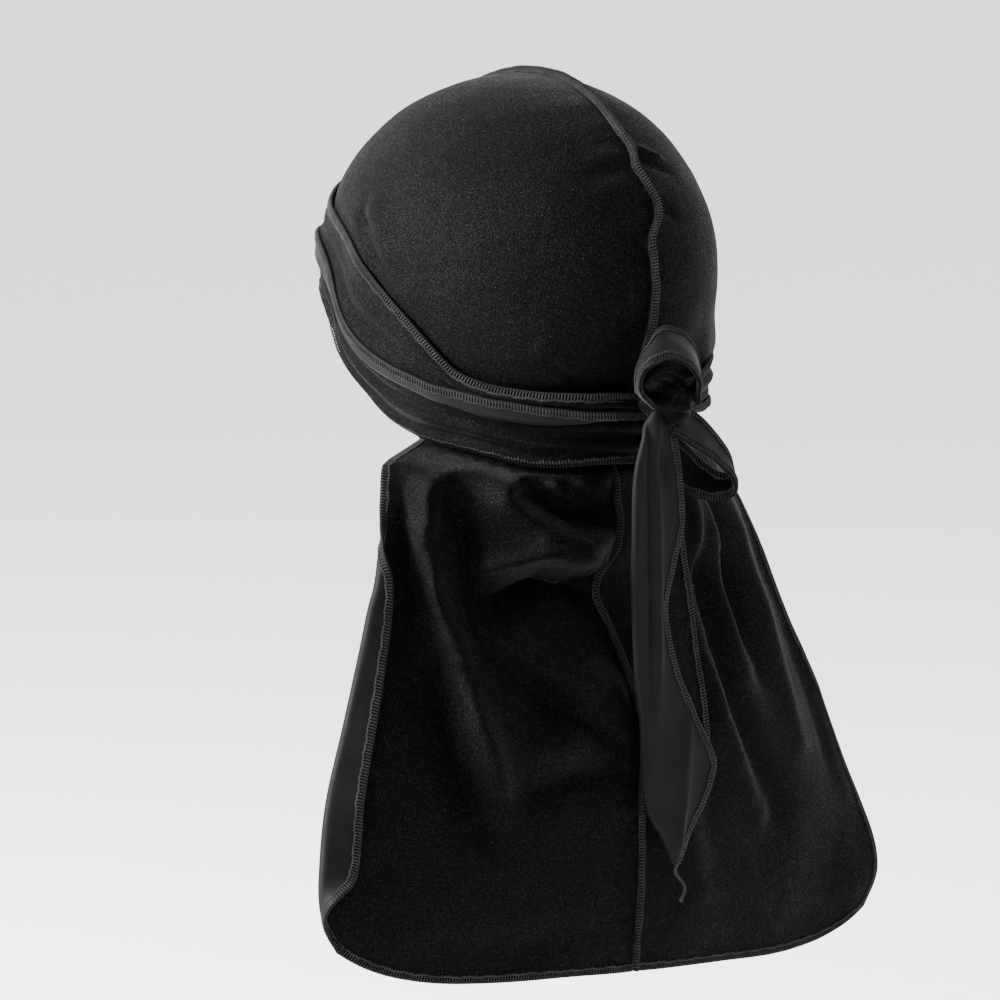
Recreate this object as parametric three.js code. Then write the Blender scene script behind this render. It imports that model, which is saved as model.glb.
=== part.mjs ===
// A durag as it is worn: two velvet panels with one raised centre seam, a long tail, and ties wrapped
// round the head into a knot and a bow at the nape.
// Millimetres. +Z is up, -Y is the wearer's face, +X is the wearer's left.
// The origin is the middle of the head opening, at the level where a head is widest.
import * as THREE from "three";
import { mergeVertices } from "three/addons/utils/BufferGeometryUtils.js";

// ---- driving dimensions ----
const HEAD = {
  halfWidth: 75,
  halfLength: 98,
  height: 86,
  depth: 76,
  power: 2.035,
  backLift: 0.045,
  temple: 0.1,
};
const NECK = { centreY: 15, halfWidth: 53, halfLength: 55, blend: 10, sideTurn: 96 };
const VELVET = 1.4; // wall of every cloth piece
const LAYER = 2.3; // from the middle of one cloth to the middle of the next one over it
const PANEL_LIFT = 0.9; // middle of the panels above the head form
const WRAP_LIFT = PANEL_LIFT + LAYER;
const WRAP_BRIDGE = 0.9; // how much further off the wraps stand where they bridge the hollow of the nape
const TUCK = { below: 3.4, slope: 4 }; // how fast the tail may leave the neck below the lower wrap
const SIDE_BUNCH = { from: 306, full: 334, fades: 343, to: 355, rise: 4.8 }; // gathered cloth on the right
const SEAM = { halfWidth: 0.9, gap: 0.3, height: 5.2, covered: 1.3, upright: 1.9, lean: 0.4 };
const BROW_PITCH = 12; // degrees over the head from the face, where the centre seam starts
const NAPE_PITCH = 214; // and where the crown becomes the tail
const PANEL_STEPS = { across: 12, crown: 22, tail: 24, roll: 4 };
const TAIL_CLOSER = 1.35; // how much closer the steps of the tail lie at its top
const ROLL_RADIUS = 2.2;

// Sideways wander of the centre seam over the crown.
const SEAM_WANDER = [
  { pitch: 12, x: 0 },
  { pitch: 88, x: 0 },
  { pitch: 106, x: -2.4 },
  { pitch: 126, x: -0.3 },
  { pitch: 136, x: 1.4 },
  { pitch: 144, x: 0.6 },
  { pitch: 150, x: 3.6 },
  { pitch: 159, x: -1.6 },
  { pitch: 169, x: 6.8 },
  { pitch: 179, x: 4.7 },
  { pitch: 193, x: 5 },
  { pitch: 201, x: 3.4 },
  { pitch: 214, x: 3 },
];

// Outer border of the crown, from the temple (along 0) to where the tail starts beside the neck (along 1).
const CROWN_BORDER = [
  { along: 0, turn: 146, z: 4 },
  { along: 0.35, turn: 128, z: -14 },
  { along: 0.7, turn: 112, z: -40 },
  { along: 1, turn: 96, z: -55 },
];

// The two borders of the tail from under the wraps (fall 0) to its hem (fall 1): seam line and outer edge.
const TAIL = [
  { fall: 0, seamX: 3, seamY: 78, seamZ: -52, edgeX: 60, edgeY: -4, edgeZ: -54 },
  { fall: 0.05, seamX: 3, seamY: 75, seamZ: -64, edgeX: 70, edgeY: 5, edgeZ: -61 },
  { fall: 0.1, seamX: 3, seamY: 75, seamZ: -76, edgeX: 86, edgeY: 22, edgeZ: -74 },
  { fall: 0.16, seamX: 3, seamY: 73, seamZ: -91, edgeX: 94, edgeY: 31, edgeZ: -90 },
  { fall: 0.2, seamX: 3, seamY: 75, seamZ: -101, edgeX: 97.5, edgeY: 35, edgeZ: -100 },
  { fall: 0.25, seamX: 4, seamY: 73, seamZ: -113, edgeX: 102.5, edgeY: 38, edgeZ: -112 },
  { fall: 0.3, seamX: 8, seamY: 66, seamZ: -125, edgeX: 107, edgeY: 41, edgeZ: -124 },
  { fall: 0.345, seamX: 8, seamY: 65, seamZ: -135, edgeX: 111, edgeY: 42, edgeZ: -134 },
  { fall: 0.4, seamX: 4, seamY: 71, seamZ: -149, edgeX: 116, edgeY: 44, edgeZ: -148 },
  { fall: 0.55, seamX: -1, seamY: 85, seamZ: -185, edgeX: 129, edgeY: 49, edgeZ: -182 },
  { fall: 0.69, seamX: -1, seamY: 85, seamZ: -219, edgeX: 142, edgeY: 55, edgeZ: -213 },
  { fall: 0.83, seamX: -1, seamY: 85, seamZ: -253, edgeX: 151.5, edgeY: 62, edgeZ: -243 },
  { fall: 0.92, seamX: 0, seamY: 84, seamZ: -275, edgeX: 153, edgeY: 65, edgeZ: -262 },
  { fall: 1, seamX: 0, seamY: 82, seamZ: -294, edgeX: 144, edgeY: 66, edgeZ: -278 },
];

// How the tail hangs at each fall: how far it still clings to the neck, how long its hem stays level
// towards the corner, and how wide and how far round (degrees) its left edge is rolled outwards.
const TAIL_HANG = [
  { fall: 0, cling: 1, level: 1, roll: 1.6, curl: 5 },
  { fall: 0.05, cling: 0.5, level: 1, roll: 1.6, curl: 5 },
  { fall: 0.1, cling: 0, level: 1, roll: 1.6, curl: 8 },
  { fall: 0.16, cling: 0, level: 1, roll: 1.6, curl: 10 },
  { fall: 0.2, cling: 0, level: 1, roll: 1.6, curl: 40 },
  { fall: 0.25, cling: 0, level: 1, roll: 2, curl: 120 },
  { fall: 0.3, cling: 0, level: 1, roll: 4.5, curl: 175 },
  { fall: 0.345, cling: 0, level: 1, roll: 7, curl: 180 },
  { fall: 0.4, cling: 0, level: 1, roll: 8.5, curl: 180 },
  { fall: 0.55, cling: 0, level: 1.3, roll: 11, curl: 180 },
  { fall: 0.69, cling: 0, level: 1.8, roll: 12.8, curl: 180 },
  { fall: 0.83, cling: 0, level: 3, roll: 12.5, curl: 170 },
  { fall: 0.92, cling: 0, level: 4, roll: 4, curl: 80 },
  { fall: 1, cling: 0, level: 6, roll: 1.6, curl: 10 },
];
const HEM_LEAN = 4.8; // the hem's left corner hangs this much higher and the right one this much lower
const TAIL_FACES = 0.55; // how far its folds rise sideways, as a part of their rise to the back
const TAIL_CLOTH = { wide: 110, long: 250 }; // the tail spread flat, which its folds are laid out on

// Soft ridges of the tail: from one place to another in (across, fall), with their half-width and rise.
const TAIL_FOLDS = [
  { side: 1, fromU: 0.52, fromV: 0.1, toU: 0.46, toV: 0.42, half: 8, rise: 4.5 },
  { side: 1, fromU: 0.46, fromV: 0.42, toU: 0.5, toV: 0.8, half: 11, rise: 5 },
  { side: 1, fromU: 0.45, fromV: 0.33, toU: 0.06, toV: 0.29, half: 7, rise: 5 },
  { side: 1, fromU: 0.5, fromV: 0.09, toU: 0.14, toV: 0.21, half: 6, rise: 3.5 },
  { side: 1, fromU: 0.82, fromV: 0.12, toU: 0.74, toV: 0.5, half: 9, rise: 3 },
  { side: 1, fromU: 0.2, fromV: 0.55, toU: 0.24, toV: 0.98, half: 14, rise: 3 },
  { side: -1, fromU: 0.3, fromV: 0.1, toU: 0.34, toV: 0.62, half: 9, rise: 4.5 },
  { side: -1, fromU: 0.55, fromV: 0.1, toU: 0.6, toV: 0.85, half: 11, rise: 5 },
  { side: -1, fromU: 0.8, fromV: 0.14, toU: 0.84, toV: 0.7, half: 9, rise: 3.5 },
  { side: -1, fromU: 0.14, fromV: 0.5, toU: 0.2, toV: 0.95, half: 12, rise: 3 },
];

// Upper wrap round the head, by its turn from the nape over the wearer's left: top edge, lower fold and
// the height of the strip that is turned up over it.
const WRAP_UPPER = [
  { turn: 1, top: -46, low: -56, strip: 2.6 },
  { turn: 12, top: -45, low: -56, strip: 3 },
  { turn: 27, top: -44.5, low: -57.5, strip: 6.5 },
  { turn: 44, top: -42, low: -55.5, strip: 8 },
  { turn: 57, top: -36, low: -51, strip: 7 },
  { turn: 65, top: -26, low: -48.5, strip: 6.5 },
  { turn: 73, top: -15, low: -45, strip: 6.5 },
  { turn: 82, top: -5, low: -41.5, strip: 7 },
  { turn: 94, top: 7, low: -35, strip: 8 },
  { turn: 107, top: 17.5, low: -21, strip: 9 },
  { turn: 118, top: 23.5, low: -7, strip: 9.5 },
  { turn: 137, top: 31, low: 5, strip: 11 },
  { turn: 157, top: 39, low: 10, strip: 9 },
  { turn: 180, top: 44, low: 14, strip: 7 },
  { turn: 203, top: 39, low: 10, strip: 6 },
  { turn: 223, top: 31, low: 4, strip: 5 },
  { turn: 253, top: 17.5, low: -21, strip: 4.5 },
  { turn: 278, top: 0, low: -40, strip: 4 },
  { turn: 303, top: -13, low: -48, strip: 3 },
  { turn: 325, top: -22, low: -52, strip: 2.6 },
  { turn: 345, top: -38, low: -55, strip: 2.6 },
  { turn: 352, top: -42, low: -56, strip: 2.6 },
];

// Lower wrap: the edge that shows below the upper one. Its top lies hidden a little above the upper fold.
const WRAP_LOWER = [
  { turn: 0, low: -76 },
  { turn: 30, low: -76 },
  { turn: 45, low: -73 },
  { turn: 62, low: -69 },
  { turn: 81, low: -66 },
  { turn: 96, low: -64 },
  { turn: 106, low: -60 },
  { turn: 114, low: -52 },
  { turn: 121, low: -38 },
  { turn: 128, low: -23 },
  { turn: 140, low: -12 },
  { turn: 160, low: -1 },
  { turn: 180, low: 3 },
  { turn: 200, low: -1 },
  { turn: 220, low: -12 },
  { turn: 232, low: -23 },
  { turn: 246, low: -52 },
  { turn: 264, low: -64 },
  { turn: 298, low: -69 },
  { turn: 330, low: -75 },
  { turn: 352, low: -76 },
];
const LOWER_UNDERLAP = 7;
const STEP_DOWN = { from: 10, to: 18 }; // above its fold, where the upper wrap comes down off the lower one
const NAPE_BUNCH = { rise: 1.2, near: 8, far: 40 }; // gathered cloth either side of the knot, by turn
const PLEAT_RISE = { upper: 0.9, lower: 1.4 };
const WRAP_END = { first: 1, last: 352 };

const KNOT = { x: -3, y: 99, z: -47, halfX: 10, halfY: 13, halfZ: 11, seatLift: 9.9 };

// Loop over the knot: the middle of the ribbon and the direction of its far edge.
const LOOP_UPPER = [
  { x: 8.4, y: 100.5, z: -46, tiltX: -0.05, tiltY: -0.8, tiltZ: 0.5 },
  { x: 18, y: 107, z: -41.5, tiltX: -0.2, tiltY: -0.7, tiltZ: 0.6 },
  { x: 21, y: 109.5, z: -35, tiltX: -0.4, tiltY: -0.65, tiltZ: 0.6 },
  { x: 17, y: 109.5, z: -28, tiltX: -0.45, tiltY: -0.62, tiltZ: 0.6 },
  { x: 10, y: 109, z: -23, tiltX: -0.45, tiltY: -0.62, tiltZ: 0.62 },
  { x: 2, y: 109, z: -23, tiltX: -0.4, tiltY: -0.62, tiltZ: 0.65 },
  { x: -5.5, y: 109, z: -26, tiltX: -0.45, tiltY: -0.62, tiltZ: 0.65 },
  { x: -11, y: 108.5, z: -30.5, tiltX: -0.5, tiltY: -0.62, tiltZ: 0.6 },
  { x: -15, y: 107.5, z: -36, tiltX: -0.55, tiltY: -0.62, tiltZ: 0.5 },
  { x: -16, y: 105, z: -42, tiltX: -0.4, tiltY: -0.8, tiltZ: 0.4 },
  { x: -14.3, y: 101.5, z: -47, tiltX: -0.1, tiltY: -0.9, tiltZ: 0.3 },
];
const LOOP_UPPER_WIDTH = 19;

// Loop to the right of the knot, out along its upper leg and back along its lower one.
const LOOP_RIGHT = [
  { x: -12.2, y: 102.3, z: -55.4, tiltX: -0.75, tiltY: -0.35, tiltZ: 0.5 },
  { x: -21.5, y: 104, z: -63, tiltX: -0.75, tiltY: -0.35, tiltZ: 0.45 },
  { x: -30, y: 104, z: -72.5, tiltX: -0.75, tiltY: -0.4, tiltZ: 0.4 },
  { x: -35.5, y: 103.5, z: -80, tiltX: -0.7, tiltY: -0.65, tiltZ: 0.15 },
  { x: -35, y: 103, z: -85, tiltX: -0.3, tiltY: -0.85, tiltZ: 0.3 },
  { x: -31, y: 102, z: -87, tiltX: 0.1, tiltY: -0.6, tiltZ: 0.75 },
  { x: -24, y: 100, z: -86.5, tiltX: 0.15, tiltY: -0.4, tiltZ: 0.9 },
  { x: -15, y: 97, z: -86, tiltX: 0.2, tiltY: -0.25, tiltZ: 0.9 },
  { x: -8, y: 94, z: -81, tiltX: 0.5, tiltY: -0.15, tiltZ: 0.7 },
  { x: -5, y: 92.5, z: -73, tiltX: 0.9, tiltY: -0.1, tiltZ: 0.3 },
  { x: -5, y: 92, z: -64, tiltX: 1, tiltY: 0, tiltZ: 0.1 },
];
const LOOP_RIGHT_WIDTH = 13;

// The hanging end: left fold, overlocked front edge, back edge and depth at each height.
const TIE_END = [
  { z: -58.3, left: 10.5, front: -4, back: -5, y: 100.5 },
  { z: -79, left: 14, front: -10, back: -11, y: 99 },
  { z: -100, left: 14, front: -12, back: -13, y: 98 },
  { z: -120, left: 13, front: -8, back: -17, y: 96.5 },
  { z: -136, left: 12, front: -5, back: -21, y: 95.5 },
  { z: -161, left: 10.5, front: -11, back: -26, y: 95 },
  { z: -186, left: 7, front: -23, back: -30, y: 95 },
  { z: -204, left: 6.5, front: -33, back: -31, y: 95 },
  { z: -214, left: 5.5, front: -31, back: -29, y: 95 },
  { z: -225, left: 2, front: -25.5, back: -24, y: 94.5 },
  { z: -235, left: -5, front: -19, back: -18, y: 94.5 },
  { z: -247, left: -11.5, front: -14.5, back: -14.2, y: 94 },
];
const TIE_FOLD_RADIUS = 1.1;

const COLOURS = {
  velvet: { color: 0x0b0b0d, roughness: 0.85, metalness: 0 },
  underside: { color: 0x2b2b30, roughness: 0.7, metalness: 0 },
  thread: { color: 0x1c1c20, roughness: 0.6, metalness: 0 },
};

// ---- small maths ----
const radians = THREE.MathUtils.degToRad;
const mix = THREE.MathUtils.lerp;
const ease = THREE.MathUtils.smoothstep;
const vector = (x, y, z) => new THREE.Vector3(x, y, z);

// Reads a table smoothly: every column of its rows at the value `at` of the column `by`.
function read(table, by, at) {
  const last = table.length - 1;
  let i = table.findIndex((row) => row[by] > at) - 1;
  if (i === -2) i = last - 1;
  i = Math.min(Math.max(i, 0), last - 1);
  const [before, from, to] = [table[Math.max(i - 1, 0)], table[i], table[i + 1]];
  const after = table[Math.min(i + 2, last)];
  const span = to[by] - from[by];
  const t = Math.min(Math.max((at - from[by]) / span, 0), 1);
  const found = {};
  for (const column of Object.keys(from)) {
    const slopeFrom = (to[column] - before[column]) / (to[by] - before[by]) * span;
    const slopeTo = (after[column] - from[column]) / (after[by] - from[by]) * span;
    found[column] = (2 * t ** 3 - 3 * t ** 2 + 1) * from[column] + (t ** 3 - 2 * t ** 2 + t) * slopeFrom
      + (3 * t ** 2 - 2 * t ** 3) * to[column] + (t ** 3 - t ** 2) * slopeTo;
  }
  return found;
}

// ---- the head form that the cloth lies on ----
function headRadius(direction) {
  const { x, y, z } = direction;
  const height = z >= 0 ? HEAD.height : HEAD.depth;
  const level = Math.max(Math.hypot(x, y), 0.05);
  const atTemple = ease(-y, 0.05, 0.6) * (1 - ease(z, 0.05, 0.5)) * ease(z, -0.58, -0.12);
  const round = Math.abs(x / HEAD.halfWidth) ** HEAD.power + Math.abs(y / HEAD.halfLength) ** HEAD.power
    + Math.abs(z / height) ** HEAD.power;
  const swell = 1 + HEAD.backLift * y * z - HEAD.temple * Math.abs(x) * atTemple;
  const skull = round ** (-1 / HEAD.power) * swell;
  const a = (x / level / NECK.halfWidth) ** 2 + (y / level / NECK.halfLength) ** 2;
  const b = -2 * (y / level) * NECK.centreY / NECK.halfLength ** 2;
  const c = (NECK.centreY / NECK.halfLength) ** 2 - 1;
  const reach = (-b + Math.sqrt(b * b - 4 * a * c)) / (2 * a);
  const neck = z < 0 ? reach / level : reach * level;
  return (skull ** NECK.blend + neck ** NECK.blend) ** (1 / NECK.blend);
}

// How far out the middle of a cloth lies that is held off the head form by its lift. Low down the form
// stands upright, so the lift there is taken across the neck.
function clothRadius(unit, lift) {
  const lean = mix(1, Math.hypot(unit.x, unit.y), ease(-unit.z, 0.3, 0.6));
  return headRadius(unit) + lift / lean;
}

function onHead(direction, lift) {
  const unit = direction.clone().normalize();
  return unit.multiplyScalar(clothRadius(unit, lift));
}

const WIDEST = 260;
const HALVINGS = 22;

// The point of the head form at a turn from the nape over the wearer's left, and at a height.
function headAt(turn, z, lift) {
  const side = vector(Math.sin(radians(turn)), Math.cos(radians(turn)), 0);
  let [inside, outside] = [1, WIDEST];
  for (let pass = 0; pass < HALVINGS; pass += 1) {
    const level = (inside + outside) / 2;
    const place = vector(side.x * level, side.y * level, z);
    const radius = place.length();
    if (radius < clothRadius(place.normalize(), lift)) inside = level;
    else outside = level;
  }
  return vector(side.x * inside, side.y * inside, z);
}

// ---- closed solids from sheets ----
// A wall of even thickness round the surface point(i, j), i = 0..rows and j = 0..columns.
function sheet(rows, columns, point, thickness) {
  const grid = [];
  for (let i = 0; i <= rows; i += 1) {
    for (let j = 0; j <= columns; j += 1) grid.push(point(i, j));
  }
  const within = (value, most) => Math.min(Math.max(value, 0), most);
  const at = (i, j) => grid[within(i, rows) * (columns + 1) + within(j, columns)];
  const positions = [];
  for (const side of [0.5, -0.5]) {
    for (let i = 0; i <= rows; i += 1) {
      for (let j = 0; j <= columns; j += 1) {
        const along = at(i + 1, j).clone().sub(at(i - 1, j));
        const across = at(i, j + 1).clone().sub(at(i, j - 1));
        const normal = along.cross(across).normalize();
        positions.push(...at(i, j).clone().addScaledVector(normal, side * thickness).toArray());
      }
    }
  }
  const index = [];
  const under = grid.length;
  const quad = (a, b, c, d) => index.push(a, b, c, a, c, d);
  for (let i = 0; i < rows; i += 1) {
    for (let j = 0; j < columns; j += 1) {
      const a = i * (columns + 1) + j;
      const [b, c, d] = [a + columns + 1, a + columns + 2, a + 1];
      quad(a, b, c, d);
      quad(under + a, under + d, under + c, under + b);
    }
  }
  const rim = [];
  for (let j = 0; j < columns; j += 1) rim.push(j);
  for (let i = 0; i < rows; i += 1) rim.push(i * (columns + 1) + columns);
  for (let j = columns; j > 0; j -= 1) rim.push(rows * (columns + 1) + j);
  for (let i = rows; i > 0; i -= 1) rim.push(i * (columns + 1));
  rim.forEach((from, k) => {
    const to = rim[(k + 1) % rim.length];
    quad(from, to, under + to, under + from);
  });
  const geometry = new THREE.BufferGeometry();
  geometry.setAttribute("position", new THREE.Float32BufferAttribute(positions, 3));
  geometry.setIndex(index);
  return geometry;
}

function piece(name, geometry, look) {
  geometry.computeVertexNormals();
  const mesh = new THREE.Mesh(geometry, new THREE.MeshStandardMaterial(COLOURS[look]));
  mesh.name = name;
  return mesh;
}

// ---- panels: crown half and tail half in one cloth ----
function crownSeam(along) {
  const pitch = mix(BROW_PITCH, NAPE_PITCH, along);
  const direction = vector(0, -Math.cos(radians(pitch)), Math.sin(radians(pitch)));
  const middle = onHead(direction, PANEL_LIFT);
  middle.x = read(SEAM_WANDER, "pitch", pitch).x;
  return middle;
}

function clingingRow(seamPoint, borderPoint, u) {
  const direction = seamPoint.clone().normalize().lerp(borderPoint.clone().normalize(), u);
  return onHead(direction, PANEL_LIFT);
}

function crownPoint(side, along, u) {
  const seamPoint = crownSeam(along);
  seamPoint.x += side * (SEAM.halfWidth + SEAM.gap);
  const border = read(CROWN_BORDER, "along", along);
  return clingingRow(seamPoint, headAt(side * border.turn, border.z, PANEL_LIFT), u);
}

// How far down the tail a step of the panels is, from 0 to 1.
function fallAt(step) {
  return Math.max((step - PANEL_STEPS.crown) / PANEL_STEPS.tail, 0) ** TAIL_CLOSER;
}

function foldRise(side, u, fall) {
  const { wide, long } = TAIL_CLOTH;
  let rise = 0;
  for (const fold of TAIL_FOLDS) {
    if (fold.side !== side) continue;
    const along = vector((fold.toU - fold.fromU) * wide, (fold.toV - fold.fromV) * long, 0);
    const here = vector((u - fold.fromU) * wide, (fall - fold.fromV) * long, 0);
    const t = Math.min(Math.max(here.dot(along) / along.lengthSq(), 0), 1);
    const away = here.sub(along.multiplyScalar(t)).length() / fold.half;
    rise += fold.rise * Math.exp(-away * away);
  }
  return rise;
}

function tailRow(fall) {
  return { ...read(TAIL, "fall", fall), ...read(TAIL_HANG, "fall", fall) };
}

function tailPoint(side, fall, u) {
  const row = tailRow(fall);
  const inset = side * (SEAM.halfWidth + SEAM.gap);
  const seamPoint = vector(row.seamX + inset, row.seamY, row.seamZ);
  const border = headAt(side * NECK.sideTurn, row.edgeZ, PANEL_LIFT);
  const clinging = clingingRow(seamPoint, border, u);
  const fold = side > 0 ? ROLL_RADIUS * ease(row.curl, 0, 90) : 0;
  const open = vector(
    mix(seamPoint.x, side * (row.edgeX - fold), u),
    row.seamY + (row.edgeY - row.seamY) * u * u,
    row.seamZ + (row.edgeZ - row.seamZ) * u ** row.level + side * HEM_LEAN * u * ease(fall, 0.5, 1),
  );
  const place = open.lerp(clinging, row.cling);
  const outward = vector(place.x * TAIL_FACES, place.y, 0).normalize();
  const shown = ease(fall, 0.05, 0.14) * ease(u, 0, 0.12) * (1 - ease(u, 0.86, 1));
  return tuckedIn(place.addScaledVector(outward, foldRise(side, u, fall) * shown));
}

// Keeps a point of the tail close to the neck where the lower wrap holds it there.
function tuckedIn(place) {
  const turn = (THREE.MathUtils.radToDeg(Math.atan2(place.x, place.y)) + 360) % 360;
  const below = Math.max(read(WRAP_LOWER, "turn", turn).low - TUCK.below - place.z, 0);
  const most = headAt(turn, place.z, PANEL_LIFT + below * TUCK.slope);
  return Math.hypot(place.x, place.y) > Math.hypot(most.x, most.y) ? most : place;
}

function seamPointAt(step) {
  const { crown } = PANEL_STEPS;
  if (step <= crown) return crownSeam(step / crown);
  const row = tailRow(fallAt(step));
  const clinging = onHead(vector(row.seamX, row.seamY, row.seamZ), PANEL_LIFT);
  return tuckedIn(vector(row.seamX, row.seamY, row.seamZ).lerp(clinging, row.cling));
}

function panelPoint(side, step, u) {
  const { crown } = PANEL_STEPS;
  return step <= crown ? crownPoint(side, step / crown, u) : tailPoint(side, fallAt(step), u);
}

function panel(name, side, rolled) {
  const { across, crown, tail, roll } = PANEL_STEPS;
  const point = (i, j) => {
    const u = Math.min(j / across, 1);
    const flat = panelPoint(side, i, u);
    if (j <= across) return flat;
    const before = panelPoint(side, i, 1 - 1 / across);
    const out = flat.clone().sub(before).normalize();
    const down = panelPoint(side, Math.min(i + 1, crown + tail), 1)
      .sub(panelPoint(side, Math.max(i - 1, 0), 1)).normalize();
    const up = out.clone().cross(down).multiplyScalar(side).normalize();
    const row = tailRow(fallAt(i));
    const curl = radians(row.curl);
    const turned = Math.min((j - across) / (roll - 1), 1) * curl;
    const straight = j === across + roll ? row.roll : 0;
    return flat.addScaledVector(out, ROLL_RADIUS * Math.sin(turned) + straight * Math.cos(turned))
      .addScaledVector(up, ROLL_RADIUS * (1 - Math.cos(turned)) + straight * Math.sin(turned));
  };
  const columns = across + (rolled ? roll : 0);
  return piece(name, sheet(crown + tail, columns, point, VELVET), "velvet");
}

// ---- centre seam: the raised seam allowances between the panels ----
function seamHeight(step) {
  const { crown } = PANEL_STEPS;
  if (step <= crown) {
    const pitch = mix(BROW_PITCH, NAPE_PITCH, step / crown);
    return mix(SEAM.covered, SEAM.height, ease(pitch, 60, 98) * (1 - ease(pitch, 194, 201)));
  }
  return mix(SEAM.covered, SEAM.height, ease(fallAt(step), 0.1, 0.16));
}

function centreSeam() {
  const steps = PANEL_STEPS.crown + PANEL_STEPS.tail;
  const positions = [];
  for (let i = 0; i <= steps; i += 1) {
    const here = seamPointAt(i);
    const along = seamPointAt(Math.min(i + 1, steps)).sub(seamPointAt(Math.max(i - 1, 0)));
    const outward = vector(0, along.z, -along.y).normalize().multiplyScalar(-1);
    const height = seamHeight(i);
    const [low, bend, high] = [0, Math.min(SEAM.upright, height * 0.7), height];
    for (const [sideways, lift] of [[1, low], [1, bend], [1, high], [-1, high], [-1, bend], [-1, low]]) {
      const corner = here.clone().addScaledVector(outward, lift - VELVET / 2);
      corner.x += sideways * SEAM.halfWidth - SEAM.lean * Math.max(lift - bend, 0);
      positions.push(...corner.toArray());
    }
  }
  const corners = 6;
  const cap = [[0, 1, 4], [0, 4, 5], [1, 2, 3], [1, 3, 4]];
  const end = steps * corners;
  const index = cap.flat();
  for (let i = 0; i < steps; i += 1) {
    for (let k = 0; k < corners; k += 1) {
      const [a, b] = [i * corners + k, i * corners + (k + 1) % corners];
      index.push(a, a + corners, b + corners, a, b + corners, b);
    }
  }
  for (const [a, b, c] of cap) index.push(end + a, end + c, end + b);
  const geometry = new THREE.BufferGeometry();
  geometry.setAttribute("position", new THREE.Float32BufferAttribute(positions, 3));
  geometry.setIndex(index);
  return piece("centre_seam", geometry, "thread");
}

// ---- wraps round the head ----
function wrapLift(z) {
  return WRAP_LIFT + WRAP_BRIDGE * ease(-z, 34, 52);
}

function upperWrap() {
  const [rows, body, strip] = [44, 6, 4];
  const point = (i, j) => {
    const turn = mix(WRAP_END.first, WRAP_END.last, i / rows);
    const row = read(WRAP_UPPER, "turn", turn);
    const radius = LAYER / 2;
    const { from, full, fades, to, rise } = SIDE_BUNCH;
    const { near, far } = NAPE_BUNCH;
    const bunch = NAPE_BUNCH.rise * (1 - ease(Math.min(turn, 360 - turn), near, far))
      + rise * ease(turn, from, full) * (1 - ease(turn, fades, to));
    if (j <= body) {
      const z = mix(row.top, row.low + radius, j / body);
      const over = 1 - ease(z - row.low, STEP_DOWN.from, STEP_DOWN.to);
      const pleat = PLEAT_RISE.upper * Math.sin(Math.PI * 2 * j / body) ** 2;
      return headAt(turn, z, wrapLift(z) + LAYER * over + bunch + pleat);
    }
    const k = j - body;
    const base = wrapLift(row.low) + LAYER + bunch;
    if (k <= 3) {
      const around = Math.PI * k / 3;
      const lift = base + radius - radius * Math.cos(around);
      return headAt(turn, row.low + radius - radius * Math.sin(around), lift);
    }
    const z = row.low + radius + (row.strip - radius) * (k - 3) / (strip - 3);
    return headAt(turn, z, base + LAYER);
  };
  return piece("tie_wrap_upper", sheet(rows, body + strip, point, VELVET), "velvet");
}

function lowerWrap() {
  const [rows, across] = [44, 6];
  const point = (i, j) => {
    const turn = mix(WRAP_END.first, WRAP_END.last, i / rows);
    const low = read(WRAP_LOWER, "turn", turn).low;
    const top = read(WRAP_UPPER, "turn", turn).low + LOWER_UNDERLAP;
    const shown = ease(j / across, 0.3, 0.5) * (1 - ease(j / across, 0.9, 1));
    const pleat = PLEAT_RISE.lower * shown * Math.sin(Math.PI * 3 * j / across) ** 2;
    const z = mix(top, low, j / across);
    return headAt(turn, z, wrapLift(z) + pleat);
  };
  return piece("tie_wrap_lower", sheet(rows, across, point, VELVET), "velvet");
}

// ---- knot, bow loops and hanging end ----
function knot() {
  const round = new THREE.SphereGeometry(1, 16, 11);
  round.deleteAttribute("normal");
  round.deleteAttribute("uv");
  const geometry = mergeVertices(round, 1e-4);
  const positions = geometry.attributes.position;
  for (let i = 0; i < positions.count; i += 1) {
    const unit = vector().fromBufferAttribute(positions, i);
    const waist = 1 - 0.1 * Math.exp(-((unit.x * 0.8 + unit.z * 0.6) ** 2) / 0.05);
    const place = vector(KNOT.x + unit.x * KNOT.halfX * waist, KNOT.y + unit.y * KNOT.halfY * waist,
      KNOT.z + unit.z * KNOT.halfZ * waist);
    const seat = headRadius(place.clone().normalize()) + KNOT.seatLift;
    if (place.length() < seat) place.setLength(seat);
    positions.setXYZ(i, place.x, place.y, place.z);
  }
  return piece("tie_knot", geometry, "velvet");
}

function ribbon(name, table, width, look) {
  const [rows, across] = [22, 2];
  const stops = table.map((row, k) => ({ ...row, stop: k }));
  const point = (i, j) => {
    const row = read(stops, "stop", i / rows * (stops.length - 1));
    const tilt = vector(row.tiltX, row.tiltY, row.tiltZ).normalize();
    return vector(row.x, row.y, row.z).addScaledVector(tilt, (j / across - 0.5) * width);
  };
  return piece(name, sheet(rows, across, point, VELVET), look);
}

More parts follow.
